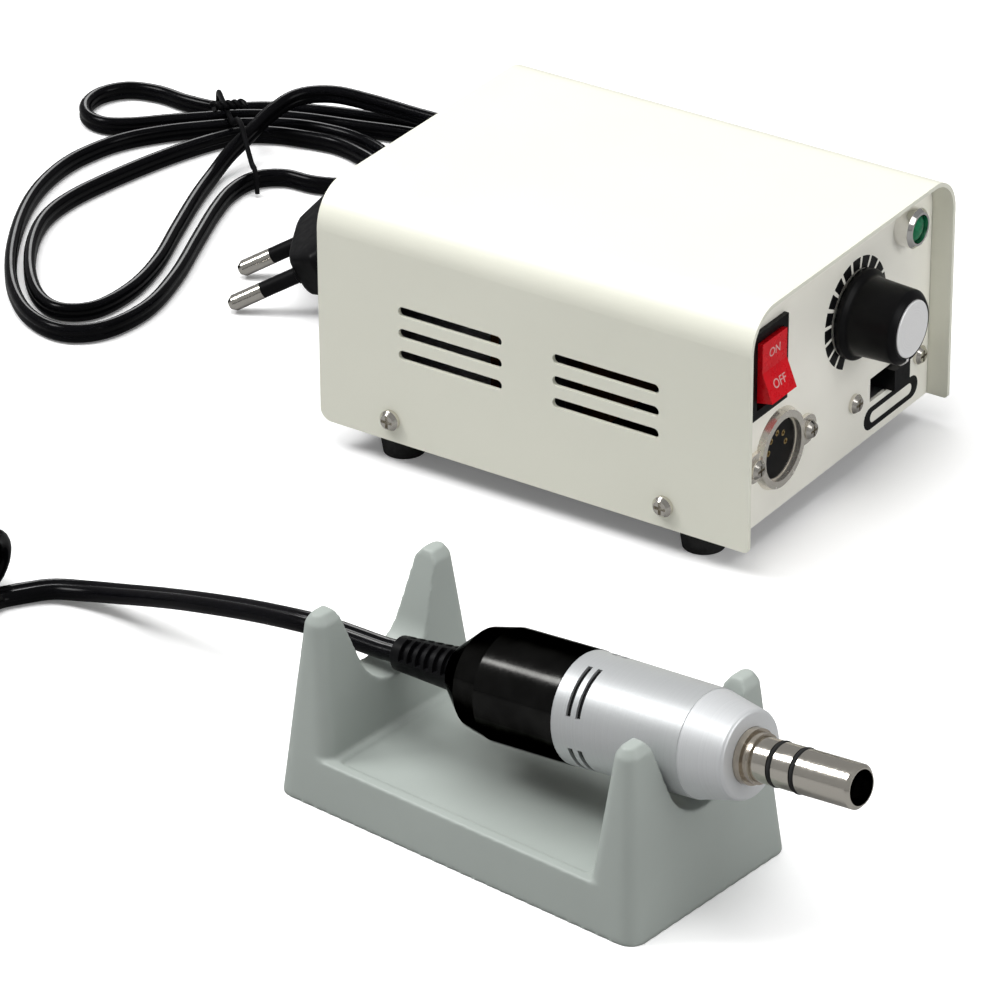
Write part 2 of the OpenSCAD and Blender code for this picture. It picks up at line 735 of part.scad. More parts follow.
// Red key, lying with its upper half pressed in
module power_rocker() {
    rise = rocker_half * tan(rocker_swing / 2);
    key = [
        [-rocker_half, rocker_valley + rise], [0, rocker_valley], [rocker_half, rocker_valley + rise],
        [rocker_half, rocker_pivot_z], [rocker_half / 2, rocker_pivot_z - rocker_keel],
        [-rocker_half / 2, rocker_pivot_z - rocker_keel], [-rocker_half, rocker_pivot_z]
    ];
    width = rocker_hole[0] - 2 * rocker_side_gap;
    pin_len = rocker_body[0] - 2 * fit_gap;
    on_front(rocker_at) translate([0, 0, rocker_pivot_z]) rotate([-rocker_swing / 2, 0, 0]) color(red) {
        translate([-width / 2, 0, -rocker_pivot_z]) rotate([90, 0, 90]) linear_extrude(width) polygon(key);
        translate([-pin_len / 2, 0, 0]) along_x() disc(rocker_pin_d, 0, pin_len);
    }
}
module socket_shell() {
    on_front(socket_at) color(chrome) difference() {
        union() {
            cone(socket_ring_d, socket_ring_d - socket_taper, 0, socket_rise);
            linear_extrude(socket_ear[1]) slot_2d(socket_screw_gap + socket_ear[0], socket_ear[0]);
            disc(socket_sleeve_d, -socket_sleeve_len, 0);
        }
        disc(socket_bore_d, 0, socket_rise + over);
        disc(socket_seat_d, -socket_depth, over);
        at_pair(socket_screw_gap) {
            disc(m25[0] + 2 * fit_gap, -over, socket_rise);
            disc(m25[1] + 2 * fit_gap, socket_ear[1], socket_rise + over);
        }
    }
}
module at_contacts() {
    for (k = [0 : contact_count - 1]) rotate(180 + (k - (contact_count - 1) / 2) * 45)
        translate([0, -contact_ring, 0]) children();
}
module socket_insert() {
    on_front(socket_at) color(black) difference() {
        disc(socket_seat_d - 2 * run_gap, -socket_depth, -insert_drop);
        at_contacts() disc(contact_d + 2 * run_gap, -socket_depth - over, over);
    }
}
module socket_contacts() {
    on_front(socket_at) color(brass) at_contacts()
        ring(contact_d, contact_bore_d, -socket_depth - contact_tail, -insert_drop);
}
module pot_body() {
    on_front(knob_at) color(zinc) difference() {
        union() {
            disc(pot_d, -front_stack - pot_depth, -front_stack);
            disc(bush_d, -front_stack - over, bush_rise);
        }
        disc(pot_shaft_d + 2 * run_gap, -front_stack - pot_depth + pot_floor, bush_rise + over);
    }
}
module pot_nut() { on_front(knob_at) color(chrome) nut(pot_nut_d, bush_d + 2 * fit_gap, 0, nut_t); }
module pot_shaft() {
    on_front(knob_at) color(zinc)
        disc(pot_shaft_d, -front_stack - pot_depth + pot_floor + fit_gap, knob_h - 2 * cap_t);
}
module speed_knob() {
    grip_from = knob_lift + knob_skirt_t;
    edge_from = knob_h - cap_proud - knob_edge;
    on_front(knob_at) color(black) difference() {
        union() {
            disc(knob_skirt_d, knob_lift, grip_from);
            cone(knob_d, knob_d - knob_taper, grip_from, edge_from);
            cone(knob_d - knob_taper, knob_d - knob_taper - 2 * knob_edge, edge_from, edge_from + knob_edge);
        }
        disc(knob_room_d, knob_lift - over, knob_room_h);
        disc(pot_shaft_d + 2 * run_gap, 0, knob_h - 2 * cap_t + fit_gap);
        disc(knob_cap_d + 2 * run_gap, knob_h - cap_t, knob_h);
    }
}
module knob_cap() { on_front(knob_at) color(silver) disc(knob_cap_d, knob_h - cap_t, knob_h); }
module pilot_bezel() {
    on_front(lamp_at) color(chrome) difference() {
        union() {
            disc(lamp_d, 0, lamp_rise - lamp_edge);
            cone(lamp_d, lamp_d - 2 * lamp_edge, lamp_rise - lamp_edge, lamp_rise);
            disc(lamp_neck_d, -lamp_neck, 0);
        }
        disc(lamp_bore_d, 0, lamp_rise + over);
        disc(lamp_bore_d - 2 * lamp_ledge, -lamp_neck - over, over);
    }
}
module pilot_lens() {
    lens_d = lamp_bore_d - 2 * run_gap;
    on_front(lamp_at) color(green) {
        disc(lens_d, 0, lamp_rise - lens_dome);
        cone(lens_d, lens_d - 2 * lens_dome, lamp_rise - lens_dome, lamp_rise);
    }
}
module pilot_nut() {
    on_front(lamp_at) color(chrome)
        nut(lamp_nut_d, lamp_neck_d + 2 * fit_gap, -front_stack - nut_t, -front_stack);
}
module slide_switch() {
    on_front(slide_at) color(zinc) difference() {
        union() {
            block(slide_body, -front_stack - slide_body[2]);
            block(slide_ear, -front_stack - slide_ear[2]);
        }
        block([slot_l, slot_h, slide_body[2]], -front_stack - slide_body[2] + slide_floor);
        at_pair(slide_screw_gap) disc(m25[0] + 2 * run_gap, -panel_cut, over);
    }
}
// Black slider, lying at the right-hand end of its slot
module direction_slider() {
    on_front(slide_at) translate([slide_travel / 2, 0, 0]) color(black)
        block([slider_l, slider_h, slider_depth + slider_rise], -slider_depth);
}

// Control box: inside
module at_core() { in_box() translate([core_at[0], core_at[1], base_top]) children(); }
module at_strap_screws() {
    translate([core_at[0], core_at[1], base_top + strap_t])
        at_pair(core[0] + 2 * strap_t + strap_ear) children();
}
module transformer_core() {
    at_core() color(iron) difference() {
        block(core, 0);
        for (s = [-1, 1]) translate([s * (core_leg + core_window[0]) / 2, 0, 0])
            block([core_window[0], core[1] + 2 * over, core_window[1]], (core[2] - core_window[1]) / 2);
    }
}
module transformer_winding() {
    coil_w = core_leg + 2 * core_window[0] - 2 * fit_gap;
    coil = [coil_w, core[1] + 2 * winding_bulge, core_window[1] - 2 * fit_gap];
    from = (core[2] - coil[2]) / 2;
    at_core() color(copper) difference() {
        block(coil, from);
        block([core_leg + 2 * fit_gap, core[1] + 2 * fit_gap, coil[2] + 2 * over], from - over);
    }
}
module transformer_strap() {
    outer = core[0] + 2 * strap_t;
    color(zinc) difference() {
        at_core() {
            difference() {
                block([outer, strap_w, core[2] + strap_t], 0);
                block([core[0], strap_w + 2 * over, core[2] + over], -over);
            }
            at_pair(outer + strap_ear) block([strap_ear, strap_w, strap_t], 0);
        }
        in_box() at_strap_screws() disc(m3[0] + 2 * fit_gap, -strap_screw_len, over);
    }
}
module transformer_screws() { in_box() color(chrome) at_strap_screws() pan_screw(m3, strap_screw_len); }
module at_board() { in_box() translate([board_at[0], board_at[1], 0]) children(); }
module circuit_board() { at_board() color(board_green) block(board, board_top - board[2]); }
module board_standoffs() {
    at_board() color(zinc) for (sx = [-1, 1], sy = [-1, 1])
        translate([sx * (board[0] / 2 - standoff_in), sy * (board[1] / 2 - standoff_in), 0])
            disc(standoff_d, base_top, base_top + standoff_h);
}
module capacitors() {
    in_box() color(black) for (share = cap_share)
        translate([board_at[0], board_rear - share * board[1], 0]) disc(cap_d, board_top, board_top + cap_h);
}
module semiconductors() {
    in_box() color(black) translate([board_at[0], 0, 0]) {
        translate([0, rectifier_y, 0]) block(rectifier_size, board_top);
        translate([0, sink_y - transistor[1] / 2, 0]) block(transistor, board_top + transistor_lift);
    }
}
module heat_sink() {
    in_box() color(silver) translate([board_at[0], sink_y, 0]) {
        translate([0, sink[1] / 2, 0]) block(sink, board_top);
        for (s = [-1, 0, 1]) translate([s * (sink[0] - fin[0]) / 2, (sink[1] + fin[1]) / 2, 0])
            block([fin[0], sink[1] + fin[1], sink[2]], board_top);
    }
}

// Control box: rear wall and mains lead
module fuse_holder() {
    on_rear(fuse_at) color(black) difference() {
        union() {
            disc(fuse_body_d, -fuse_body_len, 0);
            disc(fuse_flange[0], 0, fuse_flange[1]);
        }
        disc(fuse_hole_d, -fuse_body_len + fuse_floor, fuse_flange[1] + over);
    }
}
module fuse_cap() {
    cap_from = fuse_flange[1] + fuse_cap_gap;
    cap_to = cap_from + fuse_cap_h;
    on_rear(fuse_at) color(black) difference() {
        union() {
            disc(fuse_cap_d, cap_from, cap_to);
            disc(fuse_hole_d - 2 * run_gap, -fuse_stem, cap_from + over);
        }
        disc(fuse_room_d, -fuse_stem - over, 0);
        block([fuse_cap_d + over, cap_slot[0], cap_slot[1] + over], cap_to - cap_slot[1]);
    }
}
module fuse() {
    from = fuse_floor - fuse_body_len;
    on_rear(fuse_at) color(chrome) disc(fuse_size[0], from, from + fuse_size[1]);
}
module cord_bush() {
    groove_step = (bush_len - bush_flange[1]) / (bush_grooves + 1);
    on_rear(bush_at) color(black) difference() {
        union() {
            disc(bush_inner[0], -chassis_t - bush_inner[1], -chassis_t);
            disc(bush_neck_d, -chassis_t - over, over);
            disc(bush_flange[0], 0, bush_flange[1]);
            cone(bush_root_d, bush_end_d, bush_flange[1], bush_len);
        }
        for (k = [1 : bush_grooves]) translate([0, 0, bush_flange[1] + k * groove_step])
            ring(2 * bush_root_d, bush_groove_d, -bush_groove_w / 2, bush_groove_w / 2);
    }
}
plug_way = [cos(plug_dip) * cos(plug_turn), cos(plug_dip) * sin(plug_turn), -sin(plug_dip)];
plug_back = plug_at - plug_way * plug_end;
mains_route = concat(
    straight_end(bush_end, [0, mains_w, 0]),
    to_hank,
    [for (p = concat(behind_box, small_loop, first_turn, outer_loop, second_turn, inner_loop))
        [p[0], p[1], mains_z]],
    to_plug,
    reversed(straight_end(plug_back, -plug_way * mains_w))
);
module mains_lead() {
    p = on_desk(smooth(mains_route, lead_steps), mains_z);
    fine = on_desk(smooth(mains_route, 3 * lead_steps), mains_z);
    echo(mains_lead_gap = self_gap(fine, mains_t, mains_w, 14));
    in_box() color(black) tube(p, upright_for(p), mains_t, mains_w, 6);
}
module cord_tie() {
    p = smooth(tie_route, lead_steps);
    in_box() color(black) tube(p, [for (q = p) [1, -1, 0]], tie_d, tie_d, 6);
}
module plug_slab(size, at) {
    translate([at, 0, 0]) along_x() linear_extrude(slab_t) square([size[1], size[0]], center = true);
}
module at_plug_pins() {
    for (s = [-1, 1]) translate([0, s * plug_pin_gap / 2, 0]) along_x() children();
}
module mains_plug() {
    in_plug() color(black) {
        hull() {
            plug_slab(plug_face, -slab_t);
            plug_slab(plug_wide, -plug_wide_at[0]);
            plug_slab(plug_waist, -plug_wide_at[1]);
            plug_slab(plug_neck, -plug_len);
        }
        translate([-plug_end, 0, 0]) along_x()
            cone(plug_boot_d[1], plug_boot_d[0], 0, plug_boot_len + over);
        at_plug_pins() disc(plug_pin_d, -over, plug_sleeve_len);
    }
}
module plug_pins() {
    in_plug() color(chrome) at_plug_pins() {
        disc(plug_pin_d, plug_sleeve_len, plug_pin_len - pin_tip);
        cone(plug_pin_d, plug_pin_d - 1.4 * pin_tip, plug_pin_len - pin_tip, plug_pin_len);
    }
}

// Motor lead
boot_tip = [handpiece_rear - boot_len * cos(handpiece_tilt), handpiece_z - boot_len * sin(handpiece_tilt)];
boot_way = [-cos(handpiece_tilt), -sin(handpiece_tilt)];
// Point over the stand's middle line, from the middle of the box
function over_stand(p) = [stand_dx + p[0] * cos(stand_turn), stand_dy + p[0] * sin(stand_turn), p[1]];
function curl_point(a) = curl_from + [-curl_r * sin(a), curl_pitch * a / 360, -curl_r * cos(a)];
curl_to = curl_point(360 * curls);
motor_plug_end = curl_to + [motor_plug_at[0], motor_plug_at[1], motor_plug_z - motor_z];
motor_start = concat(
    straight_end(over_stand(boot_tip), over_stand(boot_tip + boot_way * motor_w) - over_stand(boot_tip)),
    motor_in,
    [curl_point(0), curl_point(45)]
);
motor_finish = concat(
    [curl_point(360 * curls - 45), curl_to],
    [for (p = motor_out) curl_to + p],
    reversed(straight_end(motor_plug_end, [0, motor_w, 0]))
);
module motor_lead() {
    steps = lead_steps;
    into = on_desk(smooth(motor_start, steps), motor_z);
    out = on_desk(smooth(motor_finish, steps), motor_z);
    lead_in = [for (i = [0 : len(into) - steps - 2]) into[i]];
    turns = [for (k = [0 : 8 * curls]) 45 * k];
    lead_out = [for (i = [steps + 1 : len(out) - 1]) out[i]];
    p = concat(lead_in, [for (a = turns) curl_point(a)], lead_out);
    up = concat(upright_for(lead_in), [for (a = turns) [sin(a), 0, cos(a)]], upright_for(lead_out));
    echo(motor_lead_gap = self_gap(p, motor_w, motor_t, 5));
    in_box() color(black) tube(p, up, motor_w, motor_t, 6);
}
// Motor plug on the end of the curly lead: boot and shell, with contact pins in the open mouth
module in_motor_plug() { in_box() translate(motor_plug_end) rotate([90, 0, 0]) children(); }
module motor_plug() {
    shell_from = motor_plug_boot[2];
    shell_to = shell_from + motor_plug_shell[1];
    in_motor_plug() color(black) {
        cone(motor_plug_boot[0], motor_plug_boot[1], 0, shell_from);
        difference() {
            disc(motor_plug_shell[0], shell_from, shell_to);
            disc(motor_plug_shell[0] - 2 * motor_plug_wall, shell_to - motor_plug_mouth, shell_to + over);
        }
    }
}
module motor_plug_pins() {
    pins_from = motor_plug_boot[2] + motor_plug_shell[1] - motor_plug_mouth;
    in_motor_plug() color(brass) translate([0, 0, pins_from]) at_contacts()
        disc(motor_plug_pin_d, 0, motor_plug_mouth - over);
}

// Stand: one moulding, hollow underneath
module plan_plate(l, b, r, z) {
    translate([0, 0, z]) linear_extrude(film) {
        square([l - 2 * r, b], center = true);
        square([l, b - 2 * r], center = true);
        for (sx = [-1, 1], sy = [-1, 1]) translate([sx * (l / 2 - r), sy * (b / 2 - r)]) circle(r, $fn = 32);
    }
}
// Low block between the end walls, drawn in by the given wall
module stand_base(t) {
    hull() {
        plan_plate(stand_l - 2 * t, stand_b - 2 * t, stand_corner, t > 0 ? -over : 0);
        plan_plate(stand_l - 2 * tray_lean - 2 * t, stand_b - 2 * tray_lean - 2 * t, stand_corner,
            tray_z - t - film);
    }
}
// End wall that carries two horns, leaning in on all sides
module stand_wall(side) {
    foot_mid = (stand_l - wall_foot) / 2;
    top_mid = stand_l / 2 - lean_in - horn_top / 2;
    hull() {
        translate([side * foot_mid, 0, 0]) plan_plate(wall_foot, stand_b, stand_corner, 0);
        translate([side * top_mid, 0, 0])
            plan_plate(horn_top, stand_b - 2 * lean_in, horn_top / 2 - film / 2, stand_h - horn_round);
        translate([side * top_mid, 0, 0]) plan_plate(horn_top / 2, stand_b - 2 * lean_in - horn_top / 2,
            horn_top / 4 - film / 2, stand_h - film);
    }
}
// Hollow under an end wall, leaning with the wall's faces so that they keep their thickness
module wall_core(side) {
    foot_mid = (stand_l - wall_foot) / 2;
    top_mid = stand_l / 2 - lean_in - horn_top / 2;
    share = core_top / (stand_h - horn_round);
    mid = foot_mid + (top_mid - foot_mid) * share;
    wide = wall_foot + (horn_top - wall_foot) * share - 2 * stand_t;
    hull() {
        translate([side * foot_mid, 0, 0])
            plan_plate(wall_foot - 2 * stand_t, stand_b - 2 * stand_t, stand_corner - stand_t / 2, -over);
        translate([side * mid, 0, 0]) plan_plate(wide, stand_b - 2 * lean_in * share - 2 * stand_t,
            wide / 2 - film / 2, core_top);
    }
}
module notch_2d() {
    flank = [notch_r * cos(notch_lean), -notch_r * sin(notch_lean)];
    top = stand_h - notch_flare - notch_mid;
    wide = flank[0] + (top - flank[1]) * tan(notch_lean);
    translate([0, notch_mid]) {
        circle(notch_r);
        polygon([
            [-flank[0], flank[1]], [flank[0], flank[1]], [wide, top],
            [wide + notch_flare, top + notch_flare + over], [-wide - notch_flare, top + notch_flare + over],
            [-wide, top]
        ]);
    }
}
module stand() {
    in_stand() color(stand_grey) difference() {
        union() {
            stand_base(0);
            stand_wall(-1);
            stand_wall(1);
        }
        translate([-stand_l / 2 - over, 0, 0]) rotate([90, 0, 90])
            linear_extrude(stand_l + 2 * over) notch_2d();
        block([stand_l - 2 * wall_foot, stand_b - 2 * tray_lean - 2 * tray_rim, tray_drop + over],
            tray_z - tray_drop);
        stand_base(stand_t);
        wall_core(-1);
        wall_core(1);
        translate([stand_l / 2 - dimple_at[0], -stand_b / 2, dimple_at[1]]) rotate([90, 0, 0])
            disc(dimple_d, -over, over);
    }
}

// Handpiece: casing
module rear_sleeve() {
    in_handpiece() color(black) difference() {
        union() {
            cone(2 * shoulder_r[0], 2 * shoulder_r[1], 0, shoulder_at[0]);
            cone(2 * shoulder_r[1], sleeve_d, shoulder_at[0], shoulder_at[1]);
            disc(sleeve_d, shoulder_at[1], sleeve_len);
        }
        disc(2 * sleeve_room, holder_from - holder_gap, sleeve_len + over);
        disc(boot_flange[0] + 2 * fit_gap, sleeve_back, sleeve_len);
        disc(boot_neck_d + 2 * fit_gap, -over, sleeve_len);
    }
}
module barrel_slots() {
    for (g = [0 : slot_groups - 1], from = slot_from)
        translate([0, 0, sleeve_len + from]) rotate(slot_turn + 360 * g / slot_groups - slot_arc / 2)
            rotate_extrude(angle = slot_arc) translate([barrel_d / 2 - slot_depth, 0])
                square([slot_depth + over, slot_w]);
}
module front_barrel() {
    in_handpiece() color(silver) difference() {
        union() {
            cone(barrel_d, barrel_front_d, sleeve_len, barrel_end);
            disc(2 * thread_r, sleeve_len - thread_len, sleeve_len + over);
        }
        disc(2 * barrel_room, sleeve_len - thread_len - over, barrel_end + over);
        barrel_slots();
    }
}
module nose_cone() {
    face_r = nose_face_d / 2;
    round_from = face_at - nose_round;
    in_handpiece() color(silver) difference() {
        union() {
            cone(barrel_front_d - nose_step, nose_face_d + nose_round, barrel_end, round_from);
            translate([0, 0, round_from]) rotate_extrude() intersection() {
                translate([face_r - nose_round / 2, 0]) circle(nose_round);
                square([barrel_d, nose_round]);
            }
            disc(2 * (face_r - nose_round / 2), round_from - over, face_at);
            disc(2 * (barrel_room - fit_gap / 2), barrel_end - nose_plug_len, barrel_end + over);
        }
        disc(bearing[1] + 2 * run_gap, barrel_end - nose_plug_len - over, front_bearing_from + bearing[2]);
        disc(spigot_d + 2 * run_gap, 0, tip_at);
        disc(collar_d + 2 * run_gap, face_at - collar_sink, face_at + over);
    }
}
module nose_collar() {
    in_handpiece() color(brass) difference() {
        union() {
            disc(collar_d, face_at - collar_sink, face_at + collar_lip);
            disc(collar_step_d, face_at, face_at + collar_rise);
        }
        disc(spigot_d + 2 * run_gap, 0, tip_at);
    }
}
module at_rings() { for (r = ring_from_face) translate([0, 0, face_at + r]) children(); }
module spigot() {
    in_handpiece() color(chrome) difference() {
        union() {
            disc(spigot_d, face_at - spigot_root, tip_at - spigot_chamfer);
            cone(spigot_d, spigot_d - 2 * spigot_chamfer, tip_at - spigot_chamfer, tip_at);
        }
        disc(spigot_bore_d, 0, tip_at + over);
        disc(spigot_mouth[0], tip_at - spigot_mouth[1], tip_at + over);
        at_rings() ring(spigot_d + 2, groove_d, -groove_w / 2, groove_w / 2);
    }
}
module o_rings() {
    in_handpiece() color(black) at_rings()
        rotate_extrude() translate([ring_r, 0]) circle(ring_cord / 2, $fn = 24);
}
module lead_boot() {
    step = boot_len / boot_ribs;
    in_handpiece() color(black) {
        disc(boot_flange[0], sleeve_back + fit_gap, sleeve_back + fit_gap + boot_flange[1]);
        disc(boot_neck_d, -over, sleeve_back + over);
        cone(boot_end_d - 2 * rib_rise, boot_root_d - 2 * rib_rise, -boot_len, 0);
        for (k = [0 : boot_ribs - 1])
            let (d = boot_end_d + (boot_root_d - boot_end_d) * k / (boot_ribs - 1))
                disc(d, -boot_len + k * step, -boot_len + (k + rib_share) * step);
    }
}

// Handpiece: motor
module motor_can() { in_handpiece() color(iron) ring(2 * can_r, 2 * (can_r - can_t), can_from, can_to); }
module magnets() {
    outer = can_r - can_t - run_gap;
    in_handpiece() color(iron) for (a = [0, 180]) translate([0, 0, magnet_from]) rotate(a - magnet_arc / 2)
        rotate_extrude(angle = magnet_arc) translate([outer - magnet_t, 0]) square([magnet_t, magnet_len]);
}
module at_brushes() {
    for (a = [90, 270]) rotate(a) translate([0, 0, brush_at]) rotate([0, 90, 0]) children();
}
module brush_holder() {
    in_handpiece() color(tan) difference() {
        disc(2 * thread_r, holder_from, holder_from + holder_len);
        disc(bearing[0] + 2 * run_gap, holder_from - over, rear_bearing_to);
        disc(holder_hole_d, 0, holder_from + holder_len);
        disc(holder_room_d, rear_bearing_to + bearing_wall, holder_from + holder_len + over);
        at_brushes() block([brush[0] + 2 * run_gap, brush[1] + 2 * run_gap, sleeve_d], 0);
    }
}
module brushes() {
    in_handpiece() color(iron) at_brushes() difference() {
        block(brush, commutator_d / 2 - brush_bite);
        rotate([0, 90, 0]) disc(commutator_d + 2 * brush_gap, -brush[0], brush[0]);
    }
}
module brush_springs() {
    from = commutator_d / 2 - brush_bite + brush[2];
    in_handpiece() color(zinc) at_brushes()
        ring(brush_spring_d[0], brush_spring_d[1], from, thread_r - fit_gap);
}
module bearings() {
    in_handpiece() color(chrome) {
        translate([0, 0, rear_bearing_to]) ring(bearing[0], shaft_d + 2 * run_gap, -bearing[2], 0);
        translate([0, 0, front_bearing_from]) ring(bearing[1], shaft_d + 2 * run_gap, 0, bearing[2]);
    }
}
module rotor_shaft() {
    in_handpiece() color(zinc) difference() {
        union() {
            disc(shaft_d, shaft_from, dog_to);
            disc(dog_d, dog_to - dog_len, dog_to);
        }
        block([dog_d + over, dog_slot[0], dog_slot[1] + over], dog_to - dog_slot[1]);
    }
}
module armature() {
    length = magnet_len - 2;
    from = magnet_from + 1;
    in_handpiece() color(copper) difference() {
        disc(2 * armature_r, from, from + length);
        disc(shaft_d + 2 * run_gap, 0, tip_at);
        for (k = [0 : armature_slots - 1]) rotate(360 * k / armature_slots) translate([armature_r, 0, 0])
            block([armature_slot[0], armature_slot[1], length + 2 * over], from - over);
    }
}
module commutator() {
    in_handpiece() color(copper) translate([0, 0, commutator_from])
        ring(commutator_d, shaft_d + 2 * run_gap, 0, commutator_len);
}

top_cover();
chassis();
front_plate();
cover_screws();
rubber_feet();
foot_screws();
panel_screws();
rocker_housing();
rocker_terminals();
power_rocker();
socket_shell();
socket_insert();
socket_contacts();
pot_body();
pot_nut();
pot_shaft();
speed_knob();
knob_cap();
pilot_bezel();
pilot_lens();
pilot_nut();
slide_switch();
direction_slider();
transformer_core();
transformer_winding();
transformer_strap();
transformer_screws();
circuit_board();
board_standoffs();
capacitors();
semiconductors();
heat_sink();
fuse_holder();
fuse_cap();
fuse();
cord_bush();
mains_lead();
cord_tie();
mains_plug();
plug_pins();
stand();
rear_sleeve();
front_barrel();
nose_cone();
nose_collar();
spigot();
o_rings();
motor_can();
magnets();
brush_holder();
brushes();
brush_springs();
bearings();
lead_boot();
rotor_shaft();
armature();
commutator();
motor_lead();
motor_plug();
motor_plug_pins();
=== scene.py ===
"""Looks of a dental micromotor set: control box, mains lead, desk stand, handpiece and curly motor lead.

Lengths are typed in millimetres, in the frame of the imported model, and become metres where a mesh is made.
"""

import math

import bpy
import numpy as np
from mathutils import Matrix, Vector


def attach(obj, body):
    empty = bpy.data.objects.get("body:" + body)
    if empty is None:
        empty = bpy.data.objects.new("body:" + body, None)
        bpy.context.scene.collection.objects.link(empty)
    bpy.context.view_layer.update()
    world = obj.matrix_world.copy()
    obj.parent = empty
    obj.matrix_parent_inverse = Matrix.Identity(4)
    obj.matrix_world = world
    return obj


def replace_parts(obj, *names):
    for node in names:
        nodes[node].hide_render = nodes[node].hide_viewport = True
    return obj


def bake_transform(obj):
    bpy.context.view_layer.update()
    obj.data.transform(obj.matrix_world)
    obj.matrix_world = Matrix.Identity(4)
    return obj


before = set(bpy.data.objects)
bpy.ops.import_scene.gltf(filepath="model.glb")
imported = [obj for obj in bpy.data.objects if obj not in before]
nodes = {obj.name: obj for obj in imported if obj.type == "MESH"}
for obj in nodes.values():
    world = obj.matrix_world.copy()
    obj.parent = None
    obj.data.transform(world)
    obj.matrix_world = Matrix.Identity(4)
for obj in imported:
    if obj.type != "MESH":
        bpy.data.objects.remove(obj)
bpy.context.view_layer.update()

MM = 0.001
UP = np.array([0.0, 0.0, 1.0])

# Control box: its middle on the desk, its left edge, the height of its feet and the face of its front plate
BOX = np.array([68.4, 38.8, 0.0])
BOX_W = 88.0
BOX_LEFT = BOX[0] - BOX_W / 2
FOOT_H = 7.0
PLATE_Y = -13.2

# Camera fitted to the photograph
VIEW_TARGET = (27.15, 48.78, 0.0)
VIEW_DISTANCE = 1403.58
VIEW_LENS = 223.42
VIEW_PITCH, VIEW_YAW, VIEW_ROLL = 0.5049, -0.9789, -0.005


def make_camera():
    """The camera at the photograph's viewing angle."""
    back = Vector((
        math.sin(VIEW_YAW) * math.cos(VIEW_PITCH),
        -math.cos(VIEW_YAW) * math.cos(VIEW_PITCH),
        math.sin(VIEW_PITCH),
    ))
    level = Vector((math.cos(VIEW_YAW), math.sin(VIEW_YAW), 0))
    rise = back.cross(level)
    side = level * math.cos(VIEW_ROLL) + rise * math.sin(VIEW_ROLL)
    top = rise * math.cos(VIEW_ROLL) - level * math.sin(VIEW_ROLL)
    data = bpy.data.cameras.new("view")
    data.lens = VIEW_LENS
    camera = bpy.data.objects.new("view", data)
    turn = Matrix((side, top, back)).transposed().to_4x4()
    spot = (Vector(VIEW_TARGET) + back * VIEW_DISTANCE) * MM
    camera.matrix_world = Matrix.Translation(spot) @ turn
    bpy.context.scene.collection.objects.link(camera)
    bpy.context.scene.camera = camera


# Materials


